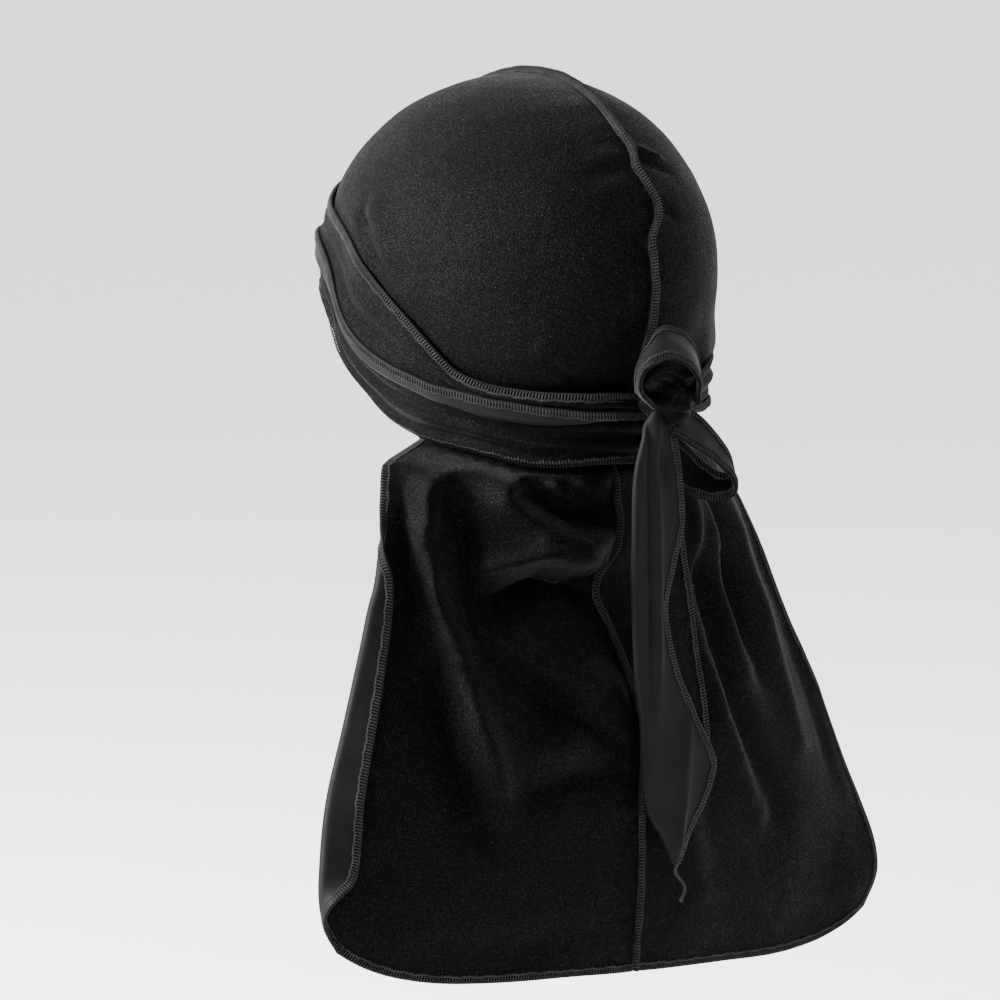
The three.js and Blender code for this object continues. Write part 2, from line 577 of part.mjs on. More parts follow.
function tieEnd() {
  const [rows, front, bend, back] = [20, 3, 3, 3];
  const levels = TIE_END.map((row) => ({ ...row, fall: -row.z }));
  const [from, to] = [levels[0].fall, levels[levels.length - 1].fall];
  const point = (i, j) => {
    const row = read(levels, "fall", mix(from, to, i / rows));
    const radius = TIE_FOLD_RADIUS;
    const left = row.left - radius;
    if (j <= front) return vector(mix(row.front, left, j / front), row.y + 2 * radius, row.z);
    if (j <= front + bend) {
      const around = Math.PI * (j - front) / bend;
      return vector(left + radius * Math.sin(around), row.y + radius + radius * Math.cos(around), row.z);
    }
    return vector(mix(left, row.back, (j - front - bend) / back), row.y, row.z);
  };
  return piece("tie_end", sheet(rows, front + bend + back, point, VELVET), "underside");
}

const durag = new THREE.Group();
durag.add(
  panel("panel_left", 1, true),
  panel("panel_right", -1, false),
  centreSeam(),
  lowerWrap(),
  upperWrap(),
  knot(),
  ribbon("bow_loop_upper", LOOP_UPPER, LOOP_UPPER_WIDTH, "underside"),
  ribbon("bow_loop_right", LOOP_RIGHT, LOOP_RIGHT_WIDTH, "underside"),
  tieEnd(),
);
durag.name = "durag";

export default durag;
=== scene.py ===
"""A velvet durag as it is worn, with its fine cloth, folds and overlocked edges.

Blender works in metres. The tables below are in millimetres: +Z is up, -Y is the way the wearer faces and
+X is the wearer's left.
"""
import math
from types import SimpleNamespace

import bpy
import numpy as np
from bpy.props import FloatProperty, FloatVectorProperty, PointerProperty
from mathutils import Matrix, Vector


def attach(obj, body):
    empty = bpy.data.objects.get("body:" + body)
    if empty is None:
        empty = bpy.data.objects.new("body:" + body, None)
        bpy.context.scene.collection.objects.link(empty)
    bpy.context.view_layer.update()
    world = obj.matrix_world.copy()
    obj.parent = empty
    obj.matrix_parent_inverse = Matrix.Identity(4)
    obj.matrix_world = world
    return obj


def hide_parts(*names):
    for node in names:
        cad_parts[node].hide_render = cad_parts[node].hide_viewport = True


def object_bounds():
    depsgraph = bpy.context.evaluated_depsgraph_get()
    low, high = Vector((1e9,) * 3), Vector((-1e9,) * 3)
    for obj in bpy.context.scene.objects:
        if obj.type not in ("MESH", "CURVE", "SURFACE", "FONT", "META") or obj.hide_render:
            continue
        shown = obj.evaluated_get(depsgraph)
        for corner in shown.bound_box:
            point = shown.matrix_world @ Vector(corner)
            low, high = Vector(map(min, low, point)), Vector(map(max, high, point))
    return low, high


bl_info = {
    "name": "Durag",
    "version": (1, 0, 0),
    "blender": (4, 5, 0),
    "location": "View3D > Sidebar > Durag",
    "description": "Builds the velvet, folds and overlock stitching of a worn durag",
    "category": "Add Mesh",
}

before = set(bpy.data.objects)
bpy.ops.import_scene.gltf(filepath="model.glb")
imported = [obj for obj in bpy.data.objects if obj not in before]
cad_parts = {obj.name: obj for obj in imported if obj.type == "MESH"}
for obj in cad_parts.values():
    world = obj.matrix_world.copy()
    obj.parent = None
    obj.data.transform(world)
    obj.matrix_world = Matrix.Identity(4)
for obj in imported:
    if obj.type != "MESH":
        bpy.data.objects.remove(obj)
CAD_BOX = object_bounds()
MM = 0.001


# ---------------------------------------------------------------- tables
class Table:
    """Rows of named columns, read smoothly at any value of the first column."""

    def __init__(self, names, *rows):
        self.names = names.split()
        self.rows = np.array(rows, float)

    def at(self, where):
        where = np.asarray(where, float)
        key = self.rows[:, 0]
        last = len(key) - 1
        start = np.clip(np.searchsorted(key, where, side="right") - 1, 0, last - 1)
        before, after = np.maximum(start - 1, 0), np.minimum(start + 2, last)
        span = key[start + 1] - key[start]
        t = np.clip((where - key[start]) / span, 0, 1)
        found = {}
        for name, column in zip(self.names, self.rows.T):
            low, high = column[start], column[start + 1]
            slope_low = (high - column[before]) / (key[start + 1] - key[before]) * span
            slope_high = (column[after] - low) / (key[after] - key[start]) * span
            found[name] = (
                (2 * t**3 - 3 * t**2 + 1) * low
                + (t**3 - 2 * t**2 + t) * slope_low
                + (3 * t**2 - 2 * t**3) * high
                + (t**3 - t**2) * slope_high
            )
        return SimpleNamespace(**found)

    def each(self):
        for row in self.rows:
            yield SimpleNamespace(**dict(zip(self.names, row)))


SEAM_WANDER = Table(
    "pitch x",
    (12, 0), (88, 0), (106, -2.4), (126, -0.3), (136, 1.4), (144, 0.6), (150, 3.6), (155, 0.6),
    (159, -1.6), (164, 1.0), (169, 6.8), (173, 5.4), (179, 4.7), (193, 5), (201, 3.4), (214, 3),
)

CROWN_BORDER = Table("along turn z", (0, 146, 4), (0.35, 128, -14), (0.7, 112, -40), (1, 96, -55))

# fall from the nape (0) to the hem (1): the centre seam, the outer edge, how far the cloth clings to the
# neck, how long its hem stays level towards the corner, and the strip that is rolled outwards
TAIL = Table(
    "fall seam_x seam_y seam_z edge_x edge_y edge_z cling level roll curl",
    (0, 3, 78, -52, 60, -4, -54, 1, 1, 1.6, 5),
    (0.05, 3, 75, -64, 70, 8, -58, 0.5, 1, 1.6, 5),
    (0.1, 3, 75, -76, 84, 21, -73, 0, 1, 1.6, 8),
    (0.16, 3, 73, -91, 94, 31, -90, 0, 1, 1.6, 10),
    (0.2, 3, 75, -101, 97.5, 35, -100, 0, 1, 1.6, 40),
    (0.25, 4, 73, -113, 102.5, 38, -112, 0, 1, 2, 120),
    (0.3, 8, 66, -125, 107, 41, -124, 0, 1, 4.5, 175),
    (0.345, 8, 65, -135, 111, 42, -134, 0, 1, 7, 180),
    (0.4, 4, 71, -149, 116, 44, -148, 0, 1, 8.5, 180),
    (0.55, -1, 85, -185, 129, 49, -182, 0, 1.3, 11, 180),
    (0.69, -1, 85, -219, 142, 55, -213, 0, 1.8, 12.8, 180),
    (0.83, -1, 85, -253, 151.5, 62, -243, 0, 3, 12.5, 170),
    (0.92, 0, 84, -275, 153, 65, -262, 0, 4, 4, 80),
    (1, 0, 82, -294, 144, 66, -278, 0, 6, 1.6, 10),
)

# ridges (and, with a negative rise, hollows) of the tail along three points, seen from behind
TAIL_FOLDS = Table(
    "x0 z0 x1 z1 x2 z2 half rise power",
    (50, -72, 54, -90, 40, -103, 7, 13, 1.4),
    (40, -103, 24, -109, 8, -107, 5, 9, 1.4),
    (66, -118, 42, -111, 12, -117, 5, 18, 1.2),
    (58, -131, 38, -124, 12, -130, 6, -15, 1.5),
    (46, -88, 26, -99, 9, -100, 5, -11, 1.5),
    (35, -77, 33, -87, 22, -93, 3.4, 6, 1.4),
    (27, -77, 21, -85, 9, -92, 3, 5, 1.4),
    (18, -77, 14, -82, 8, -86, 2.6, 3, 1.4),
    (67, -66, 78, -86, 84, -106, 3.2, 12, 1.15),
    (84, -102, 82, -126, 77, -154, 5, 12, 1.4),
    (77, -150, 76, -182, 66, -218, 7, 13, 1.6),
    (89, -80, 95, -116, 100, -150, 5, -9, 1.5),
    (73, -90, 71, -112, 70, -140, 5, -9, 1.6),
    (90, -160, 88, -190, 80, -226, 6, -9, 1.6),
    (68, -138, 48, -158, 8, -172, 9, 9, 1.6),
    (64, -152, 42, -176, 8, -196, 8, -9, 1.6),
    (62, -216, 40, -208, 8, -206, 7, -5, 1.8),
    (60, -196, 38, -192, 8, -190, 9, 5, 1.7),
    (96, -150, 94, -190, 88, -226, 12, -6, 2),
    (30, -272, 60, -280, 96, -276, 9, -3, 2),
    (-42, -84, -44, -114, -44, -152, 5, 5, 1.7),
    (-47, -84, -60, -120, -70, -170, 6, 6, 1.7),
    (-54, -84, -70, -124, -84, -176, 5, -6, 1.6),
    (-38, -136, -45, -188, -72, -232, 8, 7, 1.7),
    (-50, -130, -58, -178, -84, -232, 8, -6, 1.7),
    (-72, -88, -90, -140, -104, -206, 8, 6, 1.6),
    (-94, -96, -116, -150, -130, -216, 6, -5, 1.7),
    (-104, -104, -126, -160, -141, -228, 7, 6, 1.7),
    (-14, -150, -22, -214, -34, -262, 9, 4, 1.8),
)

# puckers and creases of the crown along two points on it
CROWN_FOLDS = Table(
    "x0 y0 z0 x1 y1 z1 half rise power",
    (-1, 79, 57.5, -20, 82, 50, 2.2, 3.6, 1.6),
    (-3, 80, 53, -22, 81, 44, 3.2, -2.2, 1.8),
    (3, 91, 39.5, -16, 93, 32, 2.2, 3.2, 1.6),
    (-3, 92, 33, -16, 92, 28, 3.0, -1.8, 1.8),
    (8, 80, 56, 26, 78, 53, 2.6, 0.9, 1.8),
    (9, 84, 49, 30, 82, 47, 3.4, -0.8, 2),
    (9, 88, 42, 28, 86, 40, 3, 0.8, 1.8),
    (9, 92, 32, 24, 91, 31, 3, -0.6, 2),
    (9, 94, 24, 26, 92, 24, 3.2, 0.7, 1.8),
    (9, 95, 12, 22, 94, 14, 3.2, -0.5, 2),
    (71, -17, 28, 76, 13, -4, 2.2, -4.2, 1.5),
    (67, -6, 31, 73, 16, 2, 3.6, 2.4, 1.8),
    (40, 75, -31, 21, 78, -45, 2, -2.2, 1.6),
    (43, 74, -25, 26, 79, -38, 4, 1.5, 2),
    (34, 78, -33, 14, 84, -44, 1.6, -0.5, 1.6),
    (-40, 78, -34, -64, 52, -26, 12, 5.5, 2),
)

WRAP_UPPER = Table(
    "turn top low strip",
    (1, -46, -56, 2.6), (12, -45, -56, 3), (27, -44.5, -57.5, 6.5), (44, -42, -55.5, 8), (57, -36, -51, 7),
    (65, -26, -48.5, 6.5), (73, -15, -45, 6.5), (82, -5, -41.5, 7), (94, 7, -35, 8), (107, 17.5, -21, 9),
    (118, 23.5, -7, 9.5), (137, 31, 5, 11), (157, 39, 10, 9), (180, 44, 14, 7), (203, 39, 10, 6),
    (223, 31, 4, 5), (253, 13, -23, 4.5), (278, -9, -42, 4), (303, -26, -49.5, 3), (325, -32, -53, 2.6),
    (345, -40, -55.5, 2.6), (352, -43, -56, 2.6),
)

WRAP_LOWER = Table(
    "turn low",
    (0, -76), (30, -76), (45, -73), (62, -69), (81, -64), (90, -61), (98, -56), (106, -50), (114, -43),
    (121, -35), (128, -23), (140, -12), (160, -1), (180, 3), (200, -1), (220, -12), (232, -23),
    (246, -52), (264, -64), (298, -69), (330, -75), (352, -76),
)

LOOP_UPPER = Table(
    "stop x y z tilt_x tilt_y tilt_z width",
    (0, 8.4, 100.5, -46, -0.15, -0.85, 0.45, 17),
    (1, 17.5, 106.5, -41, -0.55, -0.8, 0.05, 18),
    (2, 18.6, 109, -34, -0.55, -0.8, 0.05, 18.5),
    (3, 15, 110, -28, -0.5, -0.7, 0.35, 19),
    (4, 8.4, 109.5, -23, -0.45, -0.62, 0.62, 19),
    (5, 0.6, 109, -23, -0.4, -0.62, 0.65, 19),
    (6, -7, 108.5, -26.5, -0.45, -0.62, 0.6, 18.5),
    (7, -12, 108, -32, -0.5, -0.65, 0.5, 18),
    (8, -14.5, 107, -38, -0.55, -0.75, 0.25, 18),
    (9, -15.5, 104.5, -43, -0.5, -0.8, 0.15, 18),
    (10, -14.3, 101.5, -47, -0.2, -0.9, 0.25, 18),
)

LOOP_RIGHT = Table(
    "stop x y z tilt_x tilt_y tilt_z width",
    (0, -9.4, 101.3, -56.4, -0.75, -0.35, 0.5, 19),
    (1, -18, 103.7, -62.9, -0.75, -0.35, 0.48, 16.5),
    (2, -25.4, 104.9, -69, -0.75, -0.4, 0.42, 13.5),
    (3, -31.5, 105, -75, -0.72, -0.5, 0.3, 11.5),
    (4, -35.8, 104, -81, -0.5, -0.75, 0.25, 11),
    (5, -37, 101, -85, -0.1, -0.75, 0.6, 11.5),
    (6, -34.5, 97, -85.5, 0.1, -0.45, 0.85, 14),
    (7, -29.5, 94, -83.5, 0.15, -0.2, 0.93, 18),
    (8, -23.5, 92.5, -80, 0.15, -0.1, 0.95, 22),
    (9, -17, 92, -76.5, 0.15, -0.05, 0.95, 24),
    (10, -10.5, 92, -74, 0.1, 0, 0.97, 25),
    (11, -4, 92, -73, 0.05, 0, 0.98, 24),
)

TIE_END = Table(
    "fall left front back y",
    (52, 5.5, -5, -5.5, 99), (60, 9.5, -5, -6, 100.5), (79, 14, -10, -11, 99), (100, 14, -12, -13, 98),
    (120, 13, -8, -17, 96.5), (136, 12, -5, -21, 95.5), (161, 10.5, -11, -26, 95),
    (186, 7, -23, -30, 95), (204, 6.5, -33, -31, 95), (214, 5.5, -31, -29, 95),
    (225, 2, -25.5, -24, 94.5), (235, -5, -19, -18, 94.5), (247, -11.5, -14.5, -14.2, 94),
)


# ---------------------------------------------------------------- small maths
def ease(value, low, high):
    t = np.clip((value - low) / (high - low), 0, 1)
    return t * t * (3 - 2 * t)


def mix(a, b, t):
    return a + (b - a) * t


def unit(v):
    return v / np.maximum(np.linalg.norm(v, axis=-1, keepdims=True), 1e-9)


def points(x, y, z):
    return np.stack(np.broadcast_arrays(x, y, z), axis=-1).astype(float)


def ripple(place, length, seed):
    """A soft unevenness between about -1 and 1, with waves of about this length."""
    rng = np.random.default_rng(seed)
    total = np.zeros(place.shape[:-1])
    waves = 9
    for _ in range(waves):
        direction = unit(rng.normal(size=3))
        stretch = rng.uniform(0.7, 1.6)
        total += np.sin(place @ direction * (2 * math.pi / (length * stretch)) + rng.uniform(0, 2 * math.pi))
    return total / math.sqrt(waves)


def path_distance(place, path):
    """How far each point lies from a path of straight runs, and how far along it (0 to 1)."""
    best = np.full(place.shape[:-1], 1e9)
    along = np.zeros(place.shape[:-1])
    runs = len(path) - 1
    for k in range(runs):
        run = path[k + 1] - path[k]
        raw = ((place - path[k]) @ run) / (run @ run)
        t = np.clip(raw, 0, 1)
        gap = np.linalg.norm(place - (path[k] + t[..., None] * run), axis=-1)
        nearer = gap < best
        best = np.where(nearer, gap, best)
        along = np.where(nearer, (k + t) / runs, along)
    return best, along


# ---------------------------------------------------------------- the head that the cloth lies on
HEAD = SimpleNamespace(
    half_width=75, half_length=98, height=86, depth=76, power=2.035, back_lift=0.045, temple=0.1,
)
NECK = SimpleNamespace(centre_y=15, half_width=53, half_length=55, blend=10)
VELVET = 1.4
LAYER = 2.3
PANEL_LIFT = 0.9
WRAP_LIFT = PANEL_LIFT + LAYER
WRAP_BRIDGE = 0.9
TUCK = SimpleNamespace(below=3.4, slope=4)
EAR = SimpleNamespace(start=56, full=78, fades=98, stop=116, rise=2.5, top=46, low=58)
SIDE_BUNCH = SimpleNamespace(start=306, full=334, fades=343, stop=355, rise=4.8)
SEAM = SimpleNamespace(half_width=0.8, gap=0.3, height=4.5, covered=1.3, upright=1.9, lean=0.4)
BROW_PITCH, NAPE_PITCH = 12, 214
CROWN_LENGTH, TAIL_LENGTH, PANEL_WIDTH = 324, 246, 118
NECK_SIDE_TURN = 96
RIM_SWELL = 0.42
VIEW = SimpleNamespace(turn=142, tip=6, right=-6.5, up=-97.65)
SENSOR_WIDTH = 36
CAMERA_REACH = 500
FLOOR_HALF = 70.0
LIGHT_TARGET = (0, 0.02, -0.08)
ROLL_RADIUS = 2.2
HEM_LEAN = 4.8
LOWER_UNDERLAP = 7
WRAP_FIRST, WRAP_LAST = -5, 354.6
KNOT = SimpleNamespace(x=-3.5, y=98.5, z=-47.5, half_x=11, half_y=13, half_z=12, seat_lift=9.9)


def head_radius(direction):
    x, y, z = np.moveaxis(direction, -1, 0)
    height = np.where(z >= 0, HEAD.height, HEAD.depth)
    level = np.maximum(np.hypot(x, y), 0.05)
    at_temple = ease(-y, 0.05, 0.6) * (1 - ease(z, 0.05, 0.5)) * ease(z, -0.58, -0.12)
    skull = (
        np.abs(x / HEAD.half_width) ** HEAD.power
        + np.abs(y / HEAD.half_length) ** HEAD.power
        + np.abs(z / height) ** HEAD.power
    ) ** (-1 / HEAD.power) * (1 + HEAD.back_lift * y * z - HEAD.temple * np.abs(x) * at_temple)
    a = (x / level / NECK.half_width) ** 2 + (y / level / NECK.half_length) ** 2
    b = -2 * (y / level) * NECK.centre_y / NECK.half_length**2
    c = (NECK.centre_y / NECK.half_length) ** 2 - 1
    reach = (-b + np.sqrt(b * b - 4 * a * c)) / (2 * a)
    neck = np.where(z < 0, reach / level, reach * level)
    return (skull**NECK.blend + neck**NECK.blend) ** (1 / NECK.blend)


def cloth_radius(direction, lift):
    lean = mix(1, np.hypot(direction[..., 0], direction[..., 1]), ease(-direction[..., 2], 0.3, 0.6))
    return head_radius(direction) + lift / lean


def on_head(direction, lift):
    direction = unit(direction)
    return direction * cloth_radius(direction, lift)[..., None]


def head_at(turn, z, lift):
    """Points of the head form at a turn in degrees from the nape over the wearer's left, and at a height."""
    turn, z, lift = np.broadcast_arrays(np.radians(turn), np.asarray(z, float), np.asarray(lift, float))
    inside, outside = np.full(z.shape, 1.0), np.full(z.shape, 260.0)
    for _ in range(24):
        level = (inside + outside) / 2
        place = points(np.sin(turn) * level, np.cos(turn) * level, z)
        within = np.linalg.norm(place, axis=-1) < cloth_radius(unit(place), lift)
        inside = np.where(within, level, inside)
        outside = np.where(within, outside, level)
    return points(np.sin(turn) * inside, np.cos(turn) * inside, z)


# ---------------------------------------------------------------- meshes
def new_object(name, verts, faces, finishes, face_finish=None):
    """Adds a mesh object from places in millimetres, shaded smooth, with its finishes in order."""
    mesh = bpy.data.meshes.new(name)
    mesh.from_pydata((np.asarray(verts) * MM).tolist(), [], [list(face) for face in faces])
    for finish in finishes:
        mesh.materials.append(finish)
    if face_finish is not None:
        mesh.polygons.foreach_set("material_index", np.asarray(face_finish, dtype=np.int32))
    mesh.polygons.foreach_set("use_smooth", np.ones(len(mesh.polygons), dtype=bool))
    mesh.update()
    mesh.validate()
    made = bpy.data.objects.new(name, mesh)
    bpy.context.scene.collection.objects.link(made)
    return made


def grid_normals(grid):
    down = np.gradient(grid, axis=0)
    across = np.gradient(grid, axis=1)
    return unit(np.cross(down, across))


def grid_faces(rows, columns, start=0):
    i, j = np.meshgrid(np.arange(rows - 1), np.arange(columns - 1), indexing="ij")
    a = start + i * columns + j
    return np.stack([a, a + columns, a + columns + 1, a + 1], axis=-1).reshape(-1, 4)


def cloth_wall(name, grid, finishes):
    """A closed cloth wall round a grid of middle points: finish 0 on its outer side and 1 on its inner."""
    rows, columns = grid.shape[:2]
    normals = grid_normals(grid)
    outer = (grid + normals * VELVET / 2).reshape(-1, 3)
    inner = (grid - normals * VELVET / 2).reshape(-1, 3)
    index = np.arange(rows * columns).reshape(rows, columns)
    rim = np.concatenate([index[0, :-1], index[:-1, -1], index[-1, :0:-1], index[:0:-1, 0]])
    middle = grid.reshape(-1, 3)[rim]
    along = unit(np.roll(middle, -1, axis=0) - np.roll(middle, 1, axis=0))
    out = unit(np.cross(along, normals.reshape(-1, 3)[rim]))
    inward = grid.reshape(-1, 3).mean(axis=0) - middle
    side = np.sign(np.sum(out * inward, axis=-1).sum())
    bead = middle - side * out * VELVET * RIM_SWELL
    count = rows * columns
    verts = np.concatenate([outer, inner, bead])
    front = grid_faces(rows, columns)
    back = grid_faces(rows, columns, count)[:, ::-1]
    k = np.arange(len(rim))
    nxt = (k + 1) % len(rim)
    beads = 2 * count + k
    upper = np.stack([rim[k], rim[nxt], 2 * count + nxt, beads], axis=-1)
    lower = np.stack([beads, 2 * count + nxt, count + rim[nxt], count + rim[k]], axis=-1)
    faces = np.concatenate([front, back, upper, lower])
    finish = np.concatenate([
        np.zeros(len(front)), np.ones(len(back)), np.ones(len(upper) + len(lower)),
    ])
    return new_object(name, verts, faces, finishes, finish)


def tube(path, radius, reference, sides=4):
    """Vertices and faces of a thread along a path; reference is a direction that the path never follows."""
    along = unit(np.gradient(path, axis=0))
    side = unit(reference - np.sum(reference * along, axis=-1, keepdims=True) * along)
    other = np.cross(along, side)
    angle = np.arange(sides) * 2 * math.pi / sides
    radius = np.broadcast_to(radius, (len(path),))[:, None, None]
    ring = side[:, None] * np.cos(angle)[None, :, None] + other[:, None] * np.sin(angle)[None, :, None]
    verts = (path[:, None] + ring * radius).reshape(-1, 3)
    i, k = np.meshgrid(np.arange(len(path) - 1), np.arange(sides), indexing="ij")
    a, b = i * sides + k, i * sides + (k + 1) % sides
    faces = np.stack([a, b, b + sides, a + sides], axis=-1).reshape(-1, 4).tolist()
    last = (len(path) - 1) * sides
    faces.append(list(range(sides))[::-1])
    faces.append([last + n for n in range(sides)])
    return verts, faces


def joined(parts):
    verts, faces, start = [], [], 0
    for part_verts, part_faces in parts:
        verts.append(part_verts)
        faces.extend([[n + start for n in face] for face in part_faces])
        start += len(part_verts)
    return np.concatenate(verts), faces


def resampled(step, *lines):
    """The same points along every line, evenly spaced by the length of the first."""
    gaps = np.linalg.norm(np.diff(lines[0], axis=0), axis=-1)
    reach = np.concatenate([[0], np.cumsum(gaps)])
    count = max(int(reach[-1] / step), 2)
    at = np.linspace(0, reach[-1], count + 1)
    return at, [np.stack([np.interp(at, reach, line[:, n]) for n in range(3)], axis=-1) for line in lines]


def rounded(value, power):
    return np.sign(value) * np.abs(value) ** power


def overlock(name, edge, inward, outward, width=None, thickness=VELVET):
    """Overlock stitches over a cloth edge: loops that wrap it, and a chain along their inner ends."""
    sizes = bpy.context.scene.durag_stitches
    pitch, radius = sizes.pitch / MM, sizes.thread / MM
    width = sizes.width / MM if width is None else width
    per_loop = 10
    at, (edge, inward, outward) = resampled(pitch / per_loop, edge, inward, outward)
    along = unit(np.gradient(edge, axis=0))
    inward = unit(inward - np.sum(inward * along, axis=-1, keepdims=True) * along)
    outward = unit(outward - np.sum(outward * along, axis=-1, keepdims=True) * along
                   - np.sum(outward * inward, axis=-1, keepdims=True) * inward)
    phase = at / pitch * 2 * math.pi
    uneven = 1 + 0.07 * np.sin(at * 0.61) + 0.05 * np.sin(at * 1.73 + 1)
    reach = (width * uneven + radius) / 2
    across = (reach - radius * 0.6 - reach * rounded(np.cos(phase), 0.8))[:, None]
    over = ((thickness / 2 + radius * 0.7) * rounded(np.sin(phase), 0.45))[:, None]
    loops = edge + inward * across + outward * over
    parts = [tube(loops, radius, along)]
    for side in (1, -1):
        chain = slice(None, None, 2)
        sway = 0.42 * np.sin(phase)[:, None]
        off = outward * side * (thickness / 2 + radius * 1.2)
        line = edge + inward * ((width * uneven)[:, None] * 0.93 + sway) + off
        parts.append(tube(line[chain], radius * 0.9, outward[chain]))
    verts, faces = joined(parts)
    return new_object(name, verts, faces, [finish_of("thread")])


# ---------------------------------------------------------------- finishes
class Socket:
    """A shader socket that can be used in a Python expression; each operator adds its Math node."""

    def __init__(self, tree, socket):
        self.tree, self.socket = tree, socket

    def math(self, operation, *values):
        return self.tree.node("ShaderNodeMath", {"operation": operation}, dict(enumerate(values)))

    def __add__(self, other):
        return self.math("ADD", self, other)

    __radd__ = __add__

    def __sub__(self, other):
        return self.math("SUBTRACT", self, other)

    def __rsub__(self, other):
        return self.math("SUBTRACT", other, self)

    def __mul__(self, other):
        return self.math("MULTIPLY", self, other)

    __rmul__ = __mul__


class Finish:
    """One node material, built in code."""

    def __init__(self, name, **shader):
        self.material = bpy.data.materials.new(name)
        self.material.use_nodes = True
        self.nodes = self.material.node_tree.nodes
        self.nodes.clear()
        self.output = self.nodes.new("ShaderNodeOutputMaterial")
        self.shader = self.surface(**shader)
        self.material.node_tree.links.new(self.shader.outputs[0], self.output.inputs["Surface"])

    def surface(self, **values):
        """One shader with its constant values."""
        shader = self.nodes.new("ShaderNodeBsdfPrincipled")
        for socket, value in values.items():
            self.set(shader, socket.replace("_", " ").title().replace("Ior", "IOR"), value)
        return shader

    def second(self, factor, **values):
        """A second shader that takes over from the first one as the factor goes to 1."""
        shader = self.surface(**values)
        mixed = self.nodes.new("ShaderNodeMixShader")
        self.set(mixed, "Fac", factor)
        links = self.material.node_tree.links
        links.new(self.shader.outputs[0], mixed.inputs[1])
        links.new(shader.outputs[0], mixed.inputs[2])
        links.new(mixed.outputs[0], self.output.inputs["Surface"])
        return shader

    def set(self, node, socket, value):
        if isinstance(value, Socket):
            self.material.node_tree.links.new(value.socket, node.inputs[socket])
        else:
            node.inputs[socket].default_value = value

    def node(self, kind, settings=None, sockets=None, output=0):
        """Adds a node: its settings first, then the values or links of its sockets."""
        node = self.nodes.new(kind)
        for key, value in (settings or {}).items():
            setattr(node, key, value)
        for key, value in (sockets or {}).items():
            self.set(node, key, value)
        return Socket(self, node.outputs[output])

    def place(self):
        return self.node("ShaderNodeTexCoord", output="Object")

    def noise(self, scale, detail, roughness):
        sockets = {"Vector": self.place(), "Scale": scale, "Detail": detail, "Roughness": roughness}
        return self.node("ShaderNodeTexNoise", {}, sockets)

    def spread(self, value, low, high):
        """The value stretched so that low becomes 0 and high becomes 1, and cut off beyond them."""
        sockets = {"Value": value, "From Min": low, "From Max": high}
        return self.node("ShaderNodeMapRange", {"interpolation_type": "SMOOTHSTEP"}, sockets)

    def colours(self, factor, low, high):
        """A colour that goes from one plain colour to another as the factor goes to 1."""
        mixed = self.nodes.new("ShaderNodeMix")
        mixed.data_type = "RGBA"
        self.set(mixed, "Factor", factor)
        for socket, colour in zip([s for s in mixed.inputs if s.type == "RGBA"], (low, high)):
            socket.default_value = (*colour, 1)
        return Socket(self, next(s for s in mixed.outputs if s.type == "RGBA"))

    def bumps(self, *layers):
        """Bump nodes in a row; each layer is a height and its depth in metres."""
        normal = None
        for height, depth in layers:
            sockets = {"Height": height, "Strength": 1.0, "Distance": depth}
            if normal is not None:
                sockets["Normal"] = normal
            normal = self.node("ShaderNodeBump", {}, sockets)
        return normal


FINISHES = {}


def finish_of(name):
    if name not in FINISHES:
        raise RuntimeError(f"finish {name} isn't made yet")
    return FINISHES[name]


def make_velvet(looks):
    """Deep pile that stays dark, mixed with lit pile tips wherever the nap is brushed up."""
    velvet = Finish(
        "black_velvet",
        specular_ior_level=0.018,
        sheen_weight=looks.sheen * 0.2,
        sheen_roughness=looks.sheen_roughness,
        sheen_tint=(0.86, 0.87, 0.95, 1),
    )
    grain = velvet.noise(1350, 3, 0.65)
    brushed = velvet.noise(34, 3, 0.6)
    patches = velvet.noise(13, 2, 0.5)
    lit = velvet.spread(grain, 0.42, 0.68) * (0.45 + velvet.spread(brushed, 0.3, 0.7) * 0.35
                                             + velvet.spread(patches, 0.3, 0.7) * 0.3)
    tips = velvet.second(
        lit,
        specular_ior_level=0.03,
        sheen_weight=looks.sheen,
        sheen_roughness=looks.sheen_roughness,
        sheen_tint=(0.9, 0.91, 1.0, 1),
    )
    # bright specks in the base colour: single pile fibres, painted lighter so that they also carry the
    # painted glints of those fibres
    fibre_glint_specks = velvet.spread(velvet.noise(2300, 1, 0.5), 0.7, 0.78)
    normal = velvet.bumps((brushed, 0.0011), (grain, 0.0004))
    for shader, colour in ((velvet.shader, looks.velvet_dark), (tips, looks.velvet_light)):
        velvet.set(shader, "Base Color", velvet.colours(fibre_glint_specks, tuple(colour), tuple(looks.velvet_fibre_glint)))
        velvet.set(shader, "Roughness", 0.75 - velvet.spread(grain, 0.3, 0.7) * 0.2)
        velvet.set(shader, "Normal", normal)
    return velvet.material


def make_underside(looks):
    underside = Finish(
        "knit_underside",
        specular_ior_level=0.042,
        sheen_weight=0.017,
        sheen_roughness=0.4,
        sheen_tint=(0.9, 0.9, 1.0, 1),
    )
    knit = underside.noise(3200, 2, 0.6)
    cloud = underside.noise(60, 2, 0.5)
    shade = underside.spread(knit, 0.35, 0.65) * 0.45 + underside.spread(cloud, 0.3, 0.7) * 0.55
    underside.set(underside.shader, "Base Color", underside.colours(
        shade, tuple(looks.underside_dark), tuple(looks.underside_light)))
    underside.set(underside.shader, "Roughness", 0.52 + underside.spread(cloud, 0.3, 0.7) * 0.12)
    underside.set(underside.shader, "Normal", underside.bumps((cloud, 0.0004), (knit, 0.00008)))
    return underside.material


